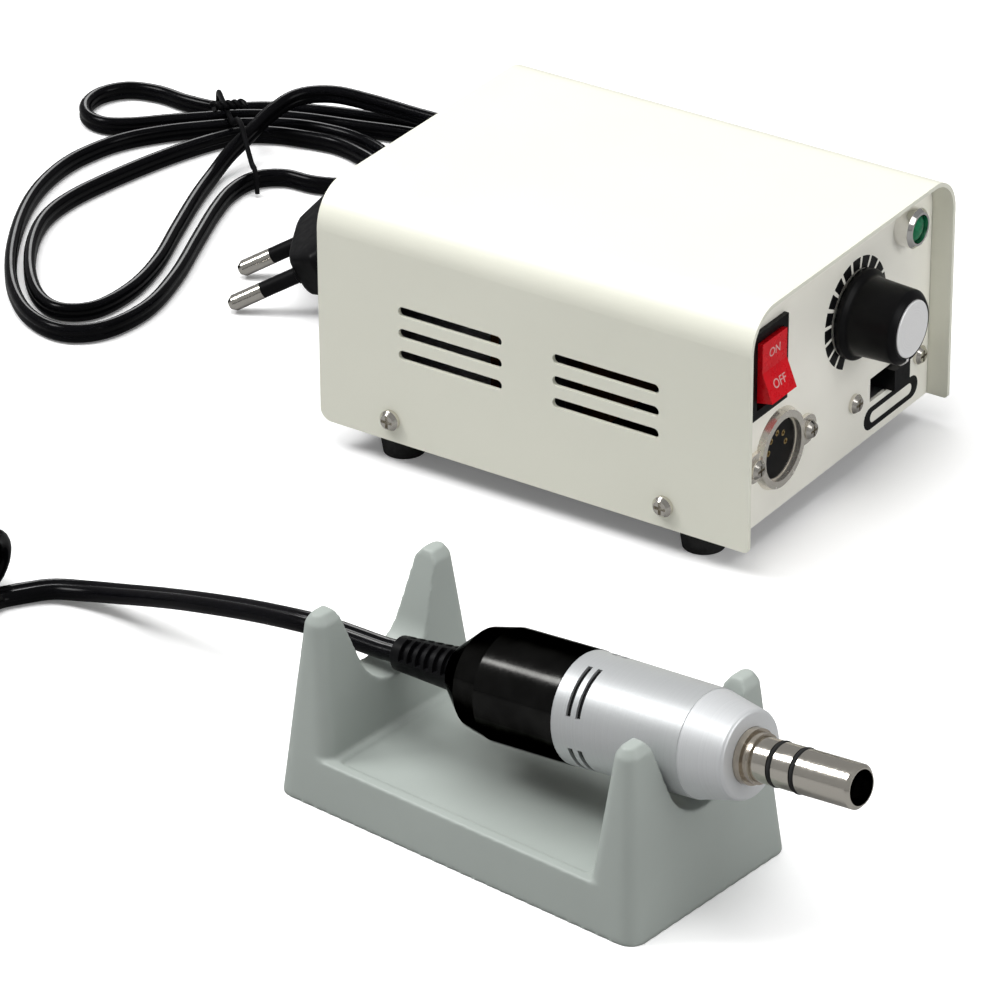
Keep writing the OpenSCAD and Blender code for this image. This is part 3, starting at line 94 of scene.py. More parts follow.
class Look:
    """One procedural material: a Principled shader and the nodes that feed it."""

    def __init__(self, name, colour, roughness, metallic=0.0, **sockets):
        self.material = bpy.data.materials.new(name)
        self.material.use_nodes = True
        self.tree = self.material.node_tree
        self.shader = self.tree.nodes["Principled BSDF"]
        self.set("Base Color", (*colour, 1))
        self.set("Roughness", roughness)
        self.set("Metallic", metallic)
        for socket, value in sockets.items():
            self.set(socket.replace("_", " "), value)
        self.colour = colour
        self.place = self.add("ShaderNodeTexCoord").outputs["Object"]

    def set(self, socket, value):
        self.shader.inputs[socket].default_value = value

    def add(self, kind, **settings):
        node = self.tree.nodes.new(kind)
        for key, value in settings.items():
            setattr(node, key, value)
        return node

    def link(self, source, target):
        self.tree.links.new(source, target)

    def noise(self, size, detail=2.0):
        """Cloudy pattern whose blobs are about this many millimetres across."""
        node = self.add("ShaderNodeTexNoise")
        node.inputs["Scale"].default_value = 1 / (size * MM)
        node.inputs["Detail"].default_value = detail
        self.link(self.place, node.inputs["Vector"])
        return node.outputs["Fac"]

    def lines(self, along, size):
        """Fine uneven lines across the given direction, as a lathe or a brush leaves them."""
        dot = self.add("ShaderNodeVectorMath", operation="DOT_PRODUCT")
        dot.inputs[1].default_value = along
        self.link(self.place, dot.inputs[0])
        return self.streak(dot.outputs["Value"], size)

    def reach(self, middle, axis):
        """Distance from an axis through the given point."""
        away = self.add("ShaderNodeVectorMath", operation="SUBTRACT")
        away.inputs[1].default_value = Vector(middle) * MM
        self.link(self.place, away.inputs[0])
        across = self.add("ShaderNodeVectorMath", operation="CROSS_PRODUCT")
        across.inputs[1].default_value = axis
        self.link(away.outputs["Vector"], across.inputs[0])
        length = self.add("ShaderNodeVectorMath", operation="LENGTH")
        self.link(across.outputs["Vector"], length.inputs[0])
        return length.outputs["Value"]

    def rings(self, middle, axis, size):
        """Fine uneven rings round an axis through the given point, as facing on a lathe leaves them."""
        return self.streak(self.reach(middle, axis), size)

    def streak(self, value, size):
        """Pattern that changes with one measure only, in steps of about this many millimetres."""
        node = self.add("ShaderNodeTexNoise", noise_dimensions="1D")
        node.inputs["Scale"].default_value = 1 / (size * MM)
        self.link(value, node.inputs["W"])
        return node.outputs["Fac"]

    def spread(self, factor, low, high):
        """A pattern, whose values lie mostly between 0.3 and 0.7, spread from low to high."""
        node = self.add("ShaderNodeMapRange")
        node.inputs["From Min"].default_value = 0.3
        node.inputs["From Max"].default_value = 0.7
        node.inputs["To Min"].default_value = low
        node.inputs["To Max"].default_value = high
        self.link(factor, node.inputs["Value"])
        return node.outputs["Result"]

    def tint(self, factor, change):
        """Varies the base colour by this share up and down."""
        node = self.add("ShaderNodeMix", data_type="RGBA")
        node.inputs["A"].default_value = (*[c * (1 - change) for c in self.colour], 1)
        node.inputs["B"].default_value = (*[min(c * (1 + change), 1) for c in self.colour], 1)
        self.link(self.spread(factor, 0, 1), node.inputs["Factor"])
        self.link(node.outputs["Result"], self.shader.inputs["Base Color"])
        return self

    def gloss(self, factor, low, high):
        """Varies the roughness between two values."""
        self.link(self.spread(factor, low, high), self.shader.inputs["Roughness"])
        return self

    def bump(self, height, depth, strength=1.0):
        """Raises the surface by the pattern; depth is in millimetres."""
        node = self.add("ShaderNodeBump")
        node.inputs["Strength"].default_value = strength
        node.inputs["Distance"].default_value = depth * MM
        self.link(height, node.inputs["Height"])
        self.link(node.outputs["Normal"], self.shader.inputs["Normal"])
        return self


def cream_enamel():
    """Baked enamel with a faint orange peel."""
    look = Look("cream_enamel", (0.80, 0.80, 0.695), 0.36, Coat_Weight=0.15, Coat_Roughness=0.25)
    look.tint(look.noise(40), 0.012).gloss(look.noise(6), 0.32, 0.42)
    return look.bump(look.noise(1.1, 3), 0.05, 0.35)


def plate_satin():
    """Light warm grey plate with a very fine horizontal brush."""
    look = Look("plate_satin", (0.95, 0.935, 0.85), 0.38, Specular_IOR_Level=0.45)
    look.tint(look.noise(18), 0.02).gloss(look.lines((0, 0, 1), 0.35), 0.32, 0.44)
    return look.bump(look.lines((0, 0, 1), 0.2), 0.012, 0.5)


def zinc_sheet():
    look = Look("zinc_sheet", (0.58, 0.59, 0.60), 0.34, 1.0)
    look.tint(look.noise(7, 4), 0.10)
    return look.gloss(look.noise(3), 0.28, 0.45)


def nickel():
    look = Look("nickel", (0.74, 0.71, 0.65), 0.2, 1.0)
    look.tint(look.noise(3), 0.06)
    return look.gloss(look.noise(3), 0.15, 0.23)


def chrome():
    look = Look("chrome", (0.78, 0.77, 0.75), 0.08, 1.0)
    look.tint(look.noise(3), 0.04)
    return look.gloss(look.noise(1.2, 4), 0.06, 0.14)


def socket_nickel():
    """Warm satin nickel of the pressed socket shell."""
    look = Look("socket_nickel", (0.90, 0.86, 0.78), 0.28, 0.8)
    look.tint(look.noise(3), 0.03).gloss(look.noise(3), 0.2, 0.28)
    return look.bump(look.noise(1.5), 0.004, 0.3)


def collar_metal(axis):
    look = Look("collar_metal", (0.58, 0.52, 0.44), 0.2, 1.0)
    look.tint(look.noise(2), 0.10).gloss(look.noise(1), 0.14, 0.28)
    return look.bump(look.lines(axis, 0.25), 0.02, 0.4)


def turned_aluminium(name, colour, axis):
    """Bead-blasted and anodised aluminium with faint turning lines."""
    look = Look(name, colour, 0.42, 0.5)
    look.tint(look.lines(axis, 0.4), 0.02).gloss(look.noise(0.5, 4), 0.38, 0.48)
    return look.bump(look.noise(0.22, 4), 0.015, 0.35)


def faced_aluminium(middle):
    """Bright knob cap, faced on a lathe."""
    look = Look("faced_aluminium", (0.90, 0.90, 0.90), 0.3, 0.3)
    look.tint(look.rings(middle, (0, 1, 0), 0.3), 0.03).gloss(look.noise(2), 0.28, 0.36)
    return look.bump(look.rings(middle, (0, 1, 0), 0.4), 0.006, 0.4)


def black_plastic(name, colour=(0.004, 0.004, 0.0045), low=0.3, high=0.42, grain=0.35, depth=0.02):
    look = Look(name, colour, low, Specular_IOR_Level=0.12)
    look.tint(look.noise(6), 0.25).gloss(look.noise(2), low, high)
    return look.bump(look.noise(grain, 3), depth, 0.4)


def black_pvc():
    """Soft glossy lead jacket, slightly rippled by the cores inside."""
    look = Look("black_pvc", (0.002, 0.002, 0.0025), 0.16, Specular_IOR_Level=0.09)
    look.tint(look.noise(12), 0.3).gloss(look.noise(4), 0.13, 0.22)
    return look.bump(look.noise(5, 2), 0.12, 0.35)


def sleeve_black(axis):
    """Black anodised sleeve with turning lines under a satin gloss."""
    look = Look("sleeve_black", (0.026, 0.026, 0.025), 0.13, 1.0, Specular_Tint=(0.1, 0.1, 0.1, 1))
    look.tint(look.noise(5), 0.2).gloss(look.noise(0.8, 3), 0.11, 0.16)
    return look.bump(look.lines(axis, 0.3), 0.01, 0.3)


SPIGOT_BORE_R = 3.75


def spigot_nickel(middle, axis):
    """Warm bright nickel; inside the bore the colour is painted near black as shade in the hole."""
    look = Look("spigot_nickel", (0.80, 0.76, 0.68), 0.18, 1.0)
    # Painted shade: within the bore radius the nickel is coloured near black, standing in for the shade
    # inside the hole
    inside = look.add("ShaderNodeMath", operation="LESS_THAN")
    inside.inputs[1].default_value = SPIGOT_BORE_R * MM
    look.link(look.reach(middle, axis), inside.inputs[0])
    shade = look.add("ShaderNodeMix", data_type="RGBA")
    shade.inputs["A"].default_value = (*look.colour, 1)
    shade.inputs["B"].default_value = (0.03, 0.027, 0.024, 1)
    look.link(inside.outputs["Value"], shade.inputs["Factor"])
    look.link(shade.outputs["Result"], look.shader.inputs["Base Color"])
    return look.gloss(look.noise(1.2, 4), 0.12, 0.22)


def rubber():
    look = Look("rubber", (0.018, 0.018, 0.018), 0.8, Specular_IOR_Level=0.3)
    look.tint(look.noise(3), 0.3).gloss(look.noise(1), 0.7, 0.9)
    return look.bump(look.noise(0.5), 0.04, 0.5)


def stand_plastic():
    """Grey moulding with a fine matt grain and faint flow marks."""
    look = Look("stand_plastic", (0.365, 0.4, 0.375), 0.42, Specular_IOR_Level=0.4)
    look.tint(look.noise(25, 3), 0.03).gloss(look.noise(4), 0.36, 0.5)
    return look.bump(look.noise(0.6, 3), 0.03, 0.35)


def rocker_red():
    look = Look("rocker_red", (0.66, 0.004, 0.012), 0.32, Specular_IOR_Level=0.2)
    look.tint(look.noise(4), 0.08).gloss(look.noise(1.5), 0.24, 0.34)
    return look.bump(look.noise(0.4), 0.015, 0.3)


def green_lens():
    look = Look("green_lens", (0.004, 0.16, 0.065), 0.16, Specular_IOR_Level=0.3)
    look.tint(look.noise(1.5), 0.35)
    return look.bump(look.noise(0.9), 0.05, 0.4)


def brass():
    look = Look("brass", (0.72, 0.52, 0.22), 0.25, 1.0)
    look.tint(look.noise(1), 0.12)
    return look.gloss(look.noise(0.6), 0.2, 0.35)


def white_ink():
    look = Look("white_ink", (0.72, 0.70, 0.69), 0.5)
    look.tint(look.noise(0.7), 0.05)
    return look.bump(look.noise(0.2), 0.01, 0.3)


def faded_ink():
    """Pale pink print on the red key."""
    look = Look("faded_ink", (0.70, 0.42, 0.41), 0.5)
    look.tint(look.noise(0.7), 0.08)
    return look.bump(look.noise(0.2), 0.01, 0.3)


# Black print on the plate, also used as painted shade on the floors of the barrel's slots
def black_ink_and_shade():
    look = Look("black_ink_and_shade", (0.005, 0.005, 0.0055), 0.45, Specular_IOR_Level=0.15)
    look.tint(look.noise(0.9), 0.3)
    return look.bump(look.noise(0.2), 0.01, 0.3)


def inner(name, colour, roughness, metallic=0.0):
    """Finish of a piece inside a casing, seen only through slots and holes."""
    look = Look(name, colour, roughness, metallic)
    look.tint(look.noise(3), 0.12)
    return look.bump(look.noise(1), 0.05, 0.3)


# Meshes


def show(name, points, faces, look, body, slot, sharp=35.0):
    """A new piece made of millimetre points; it rides on a body, if one is given, and takes its finish from
    the look. The slot argument is not used.
    """
    mesh = bpy.data.meshes.new(name)
    mesh.from_pydata([tuple(float(c) * MM for c in p) for p in points], [], faces)
    mesh.validate()
    mesh.shade_smooth()
    mesh.set_sharp_from_angle(angle=math.radians(sharp))
    mesh.materials.append(look.material)
    piece = bpy.data.objects.new(name, mesh)
    bpy.context.scene.collection.objects.link(piece)
    if body:
        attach(piece, body)
    return piece


def merged(*meshes):
    """Several (points, faces) pairs as one."""
    points, faces = [], []
    for some, loops in meshes:
        faces += [[i + len(points) for i in loop] for loop in loops]
        points += [tuple(p) for p in some]
    return points, faces


def placed(place, mesh):
    """A mesh carried from a local frame, given as a 4 x 4 array, into the row frame."""
    points, faces = mesh
    flat = np.array(points, float)
    return flat @ place[:3, :3].T + place[:3, 3], faces


def unit(v):
    return np.asarray(v, float) / np.linalg.norm(v)


def smooth(route, steps):
    """Points of a smooth curve through a route."""
    p = np.array(route, float)
    last = len(p) - 1
    t = np.linspace(0, 1, steps, endpoint=False)[:, None]
    parts = []
    for i in range(last):
        a, b, c, d = p[max(i - 1, 0)], p[i], p[i + 1], p[min(i + 2, last)]
        bend = 2 * a - 5 * b + 4 * c - d
        twist = 3 * b - a - 3 * c + d
        parts.append(0.5 * (2 * b + t * (c - a) + t ** 2 * bend + t ** 3 * twist))
    return np.vstack([*parts, p[-1:]])


def on_desk(path, height):
    """The path, lifted where it would sink into the desk."""
    path[:, 2] = np.maximum(path[:, 2], height)
    return path


def straight_end(point, way):
    """Straight stretch with which a lead leaves its gland or plug."""
    return [point, point + way / 2, point + way]


def swept(path, ups, section):
    """A tube along a path; the section lists (across, up) pairs round its edge."""
    heading = np.gradient(path, axis=0)
    heading /= np.linalg.norm(heading, axis=1)[:, None]
    across = np.cross(heading, ups)
    across /= np.linalg.norm(across, axis=1)[:, None]
    over = np.cross(across, heading)
    edge = np.array(section)
    rings = path[:, None] + across[:, None] * edge[None, :, :1] + over[:, None] * edge[None, :, 1:]
    return skinned(rings)


def skinned(rings, closed=True):
    """Skin over rings of equal length, with a cap on each end."""
    count, sides = rings.shape[:2]
    faces = []
    for i in range(count - 1):
        for k in range(sides):
            n = (k + 1) % sides
            faces.append([i * sides + k, i * sides + n, (i + 1) * sides + n, (i + 1) * sides + k])
    if closed:
        faces.append(list(range(sides))[::-1])
        faces.append([(count - 1) * sides + k for k in range(sides)])
    return rings.reshape(-1, 3), faces


def oval(width, height, power=2.0, sides=24):
    """Edge of a rounded rectangle; power 2 is an ellipse."""
    angle = np.linspace(0, 2 * math.pi, sides, endpoint=False)
    c, s = np.cos(angle), np.sin(angle)
    x = width / 2 * np.sign(c) * np.abs(c) ** (2 / power)
    y = height / 2 * np.sign(s) * np.abs(s) ** (2 / power)
    return np.stack([x, y], axis=1)


def twin(width, thick, sides=28):
    """Edge of two round cores side by side."""
    radius = thick / 2
    core = width / 2 - radius
    angle = np.linspace(0, 2 * math.pi, sides, endpoint=False)
    reach = core * np.abs(np.cos(angle)) + np.sqrt(radius ** 2 - (core * np.sin(angle)) ** 2)
    return np.stack([reach * np.cos(angle), reach * np.sin(angle)], axis=1)


def eased(profile, radius=0.25, steps=3):
    """A profile with its corners rounded, so that edges catch the light."""
    p = [np.array(q, float) for q in profile]
    out = [p[0]]
    for a, b, c in zip(p, p[1:], p[2:]):
        room = min(np.linalg.norm(a - b), np.linalg.norm(c - b)) / 2.2
        cut = min(radius, room)
        start = b + unit(a - b) * cut
        end = b + unit(c - b) * cut
        for t in np.linspace(0, 1, steps + 1):
            out.append((1 - t) ** 2 * start + 2 * t * (1 - t) * b + t ** 2 * end)
    return [*out, p[-1]]


def turned(profile, sides=72):
    """A piece turned on a lathe: the profile lists (height, radius) along the local z axis."""
    angle = np.linspace(0, 2 * math.pi, sides, endpoint=False)
    circle = np.stack([np.cos(angle), np.sin(angle)], axis=1)
    rings = [np.column_stack([circle * max(r, 0.001), np.full(sides, h)]) for h, r in profile]
    return skinned(np.array(rings))


def slab(outline, low, high):
    """A flat plate between two heights, with the given outline in the local xy plane."""
    ring = [np.column_stack([outline, np.full(len(outline), h)]) for h in (low, high)]
    return skinned(np.array(ring))


def front_place(x, z):
    """Local frame on the front plate: x across, y up, z towards the user."""
    return place_of((BOX_LEFT + x, PLATE_Y, FOOT_H + z), (1, 0, 0), (0, 0, 1), (0, -1, 0))


def place_of(origin, x, y, z):
    """Local frame with this origin and these axes, as a 4 x 4 array."""
    place = np.eye(4)
    place[:3, :3] = np.column_stack([x, y, z])
    place[:3, 3] = origin
    return place


# Handpiece frame: z along its axis from the rear end of the sleeve, x downwards
STAND = BOX + np.array([-152.4, -72.0, 0.0])
STAND_TURN = math.radians(-96.4)
TILT = math.radians(6.8)
STAND_X = np.array([math.cos(STAND_TURN), math.sin(STAND_TURN), 0])
STAND_Y = np.array([-math.sin(STAND_TURN), math.cos(STAND_TURN), 0])
AXIS = STAND_X * math.cos(TILT) + UP * math.sin(TILT)
DOWN = STAND_X * math.sin(TILT) - UP * math.cos(TILT)
SLEEVE_BACK, SLEEVE_UP = 18.0, 28.5
HAND = place_of(STAND - SLEEVE_BACK * STAND_X + SLEEVE_UP * UP, DOWN, STAND_Y, AXIS)


def hand_point(s):
    """Point on the handpiece's axis, this far from the rear end of the sleeve."""
    return HAND[:3, 3] + s * AXIS


make_camera()

PVC = black_pvc()
PLUG_BLACK = black_plastic("plug_black", low=0.32, high=0.45)

# Mains lead: flat, lying on edge, from the rear bush through the tied hank to the plug. The hank's stretches
# are in the order in which the lead runs through them, as places on the desk from the box's middle.
MAINS_W, MAINS_T = 4.7, 3.0
MAINS_Z = MAINS_W / 2 + 0.1
BUSH_END = np.array([36.0, 79.0, 15.0])
TO_HANK = [[38.5, 91, 13.2], [46, 96, 8.8], [57, 98, 4.6]]
BEHIND_BOX = [
    [70, 96.5], [83, 96], [94, 98.5], [102, 106], [105, 118], [103.5, 131], [100.5, 144],
    [96.5, 157], [91, 169]
]
SMALL_LOOP = [
    [84.5, 178.5], [83, 188.5], [83.5, 198], [81, 206], [74.5, 210], [67, 209], [62, 204.5], [61, 198.5],
    [64.5, 192.5], [71, 186], [77, 179.5]
]
FIRST_TURN = [
    [82.3, 173.8], [87.3, 166], [91.3, 156], [94.5, 144], [98, 132], [99.8, 121], [97.5, 111.5], [91, 106],
    [84, 108], [80.7, 115], [82.3, 123.5], [86.5, 132], [88.7, 141], [88.5, 149], [86.8, 156.5], [83.7, 163]
]
OUTER_LOOP = [
    [79, 169.6], [73.5, 175.5], [66, 182.5], [57, 188.5], [48, 191.5], [36, 192.5], [21, 189.5], [5, 182.5],
    [-12, 172], [-25, 161], [-33.5, 149.5], [-35.5, 138.5], [-29, 131], [-15, 129], [2, 133], [21, 140.3],
    [36, 146], [47, 149], [56, 148.5], [61.3, 143]
]
SECOND_TURN = [
    [62.3, 134.5], [66, 126.8], [72.5, 123.6], [78.7, 127], [82, 135], [83.5, 143], [82.3, 151], [80, 159]
]
INNER_LOOP = [
    [75.5, 166], [67, 170.5], [55, 174.5], [39, 178], [23, 180], [10, 178.5], [-3, 172.5], [-16, 163],
    [-25, 153], [-27, 145], [-21.5, 139], [-9, 138], [6, 141.3], [23, 148], [40, 154.5]
]
TO_PLUG = [
    [52, 158, 3], [60, 159, 5], [68, 158.5, 7.5], [77, 158.5, 9.6], [86, 156.5, 11.2], [92.5, 150, 11.2],
    [95.5, 140, 10.2], [97, 128, 9.2], [98, 116, 8.8], [97.5, 105, 9], [92.5, 94, 9.2], [83.5, 82.5, 7],
    [73, 73, 10.5], [64, 67, 19], [56, 63.5, 26.5], [48, 62.3, 31.4], [41, 63.5, 33.2], [35.6, 67, 32.6]
]
PLUG_AT = np.array([14.8, 103.9, 10.9])
PLUG_TURN, PLUG_DIP = math.radians(118.6), math.radians(28)
PLUG_WAY = np.array([
    math.cos(PLUG_DIP) * math.cos(PLUG_TURN), math.cos(PLUG_DIP) * math.sin(PLUG_TURN), -math.sin(PLUG_DIP)
])
PLUG_SIDE = np.array([-math.sin(PLUG_TURN), math.cos(PLUG_TURN), 0])
PLUG_LEN, PLUG_BOOT_LEN = 25.0, 11.0
PIN_GAP = 18.4
PLUG = place_of(BOX + PLUG_AT, PLUG_SIDE, np.cross(PLUG_WAY, PLUG_SIDE), PLUG_WAY)


def mains_path():
    """Path of the mains lead, from the bush to the plug's boot."""
    back = PLUG_AT - PLUG_WAY * (PLUG_LEN + PLUG_BOOT_LEN)
    hank = BEHIND_BOX + SMALL_LOOP + FIRST_TURN + OUTER_LOOP + SECOND_TURN + INNER_LOOP
    route = [
        *straight_end(BUSH_END, np.array([0, MAINS_W, 0])),
        *TO_HANK,
        *[[*p, MAINS_Z] for p in hank],
        *TO_PLUG,
        *straight_end(back, -PLUG_WAY * MAINS_W)[::-1],
    ]
    return on_desk(smooth(route, 6), MAINS_Z) + BOX


def mains_plug():
    """Flat two-pin plug: a lozenge body, pin sleeves and a ribbed boot."""
    stations = [
        (0.0, 22.4, 10.6, 5), (-0.3, 23.4, 11.6, 5), (-1.0, 24.6, 12.4, 6), (-6.4, 34.4, 13.7, 7),
        (-7.0, 35.0, 13.7, 7), (-7.6, 34.9, 13.7, 7), (-13, 30.8, 13.4, 6), (-13.6, 30.0, 13.2, 6),
        (-24.2, 15.4, 11.0, 5), (-25, 14.0, 10.2, 4), (-25.4, 10, 9, 3)
    ]
    sides = 48
    rings = [
        np.column_stack([oval(wide, thick, power, sides), np.full(sides, at)])
        for at, wide, thick, power in stations[::-1]
    ]
    body = skinned(np.array(rings))
    boot = [(-36, 2.0), (-36, 3.7)]
    for k in range(4):
        at, r = -35.2 + 2.6 * k, 3.75 + 0.27 * k
        boot += [(at, r), (at + 1.5, r + 0.12), (at + 1.7, r - 0.6), (at + 2.4, r - 0.55)]
    boot += [(-24.6, 4.8), (-24.6, 2.0)]
    sleeve = [(-1, 1.0), (-1, 2.3), (0.5, 2.3), (0.6, 1.98), (10, 1.98), (10, 1.0)]
    post = turned(eased(sleeve, 0.15), 40)
    sleeves = [
        placed(place_of((side * PIN_GAP / 2, 0, 0), (1, 0, 0), (0, 1, 0), (0, 0, 1)), post)
        for side in (-1, 1)
    ]
    mesh = placed(PLUG, merged(body, turned(eased(boot, 0.2), sides), *sleeves))
    piece = show("plug_body", *mesh, PLUG_BLACK, "control_unit", "plug_black", 40)
    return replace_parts(piece, "mains_plug")


TIE_ROUTE = [
    [87.2, 182.2, 1], [86, 181, 6.2], [80, 174.6, 6.3], [73, 167.2, 6.8], [68, 162, 10.6],
    [64.5, 158.2, 11.6], [61, 154.5, 9.8], [56.3, 149.3, 6.8], [53.7, 146.3, 6.3], [52.8, 145.2, 1]
]
KNOT_FROM, KNOT_TO = np.array([75.6, 175.2, 8.0]), np.array([81.4, 169.4, 8.0])


def wire_tie():
    """Thin coated wire over the bundle, with its two ends twisted together on top."""
    path = smooth(TIE_ROUTE, 8)
    strap = swept(path, np.tile([1.0, -1.0, 0.0], (len(path), 1)), oval(1.7, 1.2, 2.6, 12))
    steps, half_turns, twist_r, flare = 72, 5, 0.75, 0.9
    share = np.linspace(0, 1, steps)
    side = np.cross(UP, unit(KNOT_TO - KNOT_FROM))
    tails = []
    for start in (0, math.pi):
        phase = start + share * half_turns * math.pi
        apart = twist_r + flare * np.abs(2 * share - 1) ** 6
        core = KNOT_FROM + share[:, None] * (KNOT_TO - KNOT_FROM)
        swing = side * (apart * np.cos(phase))[:, None] + UP * (twist_r * np.sin(phase))[:, None]
        tails.append(swept(core + swing, np.tile(UP, (steps, 1)), oval(1.25, 1.25, 2, 10)))
    points, faces = merged(strap, *tails)
    piece = show("wire_tie", np.array(points) + BOX, faces, PLUG_BLACK, "control_unit", "lead_black")
    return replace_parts(piece, "cord_tie")


def mains_lead(plug, tie):
    """The flat mains lead; the plug and tie arguments are not used."""
    path = mains_path()
    mesh = swept(path, np.tile(UP, (len(path), 1)), twin(MAINS_W, MAINS_T)[:, ::-1])
    piece = show("mains_cord", *mesh, PVC, "control_unit", "lead_black", 80)
    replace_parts(piece, "mains_lead")
    return piece


# Motor lead: twin flat, from the handpiece's boot through the curls to its plug
MOTOR_W, MOTOR_T = 6.0, 3.6
MOTOR_Z = MOTOR_T / 2 + 0.1
BOOT_LEN = 17.0
MOTOR_IN = [
    [-145.6, -17, 24.4], [-144.6, -8.5, 23.2], [-141.4, 6.5, 19.4], [-138, 23, 14.6], [-134.6, 36, 10],
    [-132.4, 48, 6], [-132, 58, 3.4], [-134.5, 67, 2.2]
]
CURLS, CURL_PITCH, CURL_R = 24, 6.7, 6.95
CURL_FROM = np.array([-143, 74, CURL_R + MOTOR_Z])
MOTOR_OUT = np.array([[-8, 1.5, 0], [-16, 0.5, 0], [-23, -4, 0.8], [-28, -11, 2.6]])
MOTOR_PLUG_STEP = np.array([-30, -26, 7.4 - MOTOR_Z])


def curl_point(turn):
    """Point of the curls after this many turns."""
    a = 2 * math.pi * turn
    return CURL_FROM + np.array([-CURL_R * math.sin(a), CURL_PITCH * turn, -CURL_R * math.cos(a)])


def motor_path():
    """Path of the motor lead and the direction that its flat side faces."""
    steps, eighth = 6, 1 / 8
    leave = hand_point(-BOOT_LEN) - BOX
    end = curl_point(CURLS) + MOTOR_PLUG_STEP
    start = [
        *straight_end(leave, -MOTOR_W * AXIS), *MOTOR_IN, curl_point(0), curl_point(eighth)
    ]
    finish = [
        curl_point(CURLS - eighth), curl_point(CURLS), *(curl_point(CURLS) + MOTOR_OUT),
        *straight_end(end, np.array([0, MOTOR_W, 0]))[::-1]
    ]
    lead_in = on_desk(smooth(start, steps), MOTOR_Z)[:-steps - 1]
    lead_out = on_desk(smooth(finish, steps), MOTOR_Z)[steps + 1:]
    turns = np.linspace(0, CURLS, CURLS * 28 + 1)
    curls = np.array([curl_point(t) for t in turns])
    facing = np.column_stack([np.sin(2 * math.pi * turns), 0 * turns, np.cos(2 * math.pi * turns)])
    ups = np.vstack([np.tile(UP, (len(lead_in), 1)), facing, np.tile(UP, (len(lead_out), 1))])
    return np.vstack([lead_in, curls, lead_out]) + BOX, ups, end + BOX


def motor_plug(end):
    """Round plug of the motor lead: ribbed boot, grip rings and an open mouth."""
    place = place_of(end, (1, 0, 0), (0, 0, 1), (0, -1, 0))
    profile = [(0, 2.0), (0, 3.65)]
    for k in range(5):
        at, r = 0.8 + 3 * k, 3.7 + 0.36 * k
        profile += [(at, r), (at + 1.9, r + 0.2), (at + 2.1, r - 0.5), (at + 2.8, r - 0.4)]
    profile += [(16, 5.4), (16, 6.7), (17, 7.15)]
    for k in range(6):
        at = 19 + 2.2 * k
        profile += [(at, 7.15), (at + 0.3, 6.75), (at + 0.9, 6.75), (at + 1.2, 7.15)]
    profile += [(45.6, 7.15), (46, 6.8), (46, 6.25), (37.1, 6.25), (37.1, 1.0)]
    mesh = placed(place, turned(profile, 64))
    piece = show("motor_plug_body", *mesh, PLUG_BLACK, "control_unit", "plug_black")
    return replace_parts(piece, "motor_plug")


def motor_lead():
    """The flat motor lead and its plug; the lead rides on no body."""
    path, ups, end = motor_path()
    plug = motor_plug(end)
    piece = show("motor_cord", *swept(path, ups, twin(MOTOR_W, MOTOR_T)), PVC, None, "lead_black", 80)
    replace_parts(piece, "motor_lead")
    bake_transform(piece)
    return piece


LEADS = [mains_lead(mains_plug(), wire_tie()), motor_lead()]


# Box front: places on the plate, from its lower left corner, and sizes of what sits there
KNOB_AT = (53.6, 35.2)
ROCKER_AT = (15.2, 38.3)
LENS_AT = (74.3, 48.5)
LABEL_AT = (70.6, 4.7)
KNOB_H = 15.0
ROCKER_VALLEY, ROCKER_PIVOT = 2.4, 3.0
ROCKER_SWING = math.radians(22)
DIAL_BLOCKS, DIAL_FROM, DIAL_SWEEP = 17, 240, 300
PRINT_T = 0.05
KNOB_BLACK = black_plastic("knob_black", low=0.3, high=0.4)
# Print on the plate, and painted shade in the barrel's slots
BLACK_INK_AND_SHADE = black_ink_and_shade()
WHITE_INK = white_ink()


def arc_block(inner_r, outer_r, middle, width, steps=6):
    """Outline of a block of a ring, angles in degrees."""
    angle = np.radians(np.linspace(middle - width / 2, middle + width / 2, steps))
    edge = np.column_stack([np.cos(angle), np.sin(angle)])
    return np.vstack([edge * outer_r, edge[::-1] * inner_r])


def frame_slab(outer, hole, low, high):
    """A flat frame between two outlines of equal point count."""
    count = len(outer)
    layers = [(outer, low), (outer, high), (hole, high), (hole, low)]
    rings = np.array([np.column_stack([edge, np.full(count, h)]) for edge, h in layers])
    return skinned(np.concatenate([rings, rings[:1]]), closed=False)


def pill(length, height, steps=10):
    """Outline of a bar with round ends."""
    r = height / 2
    angle = np.radians(np.linspace(-90, 90, steps))
    cap = np.column_stack([np.cos(angle), np.sin(angle)]) * r
    shift = np.array([length / 2 - r, 0])
    return np.vstack([cap + shift, -cap - shift])


def panel_print():
    """Ink on the front plate: the blocks of the speed dial and a bare frame below the direction switch."""
    angles = [DIAL_FROM - DIAL_SWEEP * k / (DIAL_BLOCKS - 1) for k in range(DIAL_BLOCKS)]
    blocks = [slab(arc_block(10.4, 13.3, angle, 14.4), 0, PRINT_T) for angle in angles]
    dial = placed(front_place(*KNOB_AT), merged(*blocks))
    label = placed(front_place(*LABEL_AT), frame_slab(pill(24, 5.6), pill(18.6, 2.8), 0, PRINT_T))
    show("panel_print", *merged(dial, label), BLACK_INK_AND_SHADE, "control_unit", "switch_black")


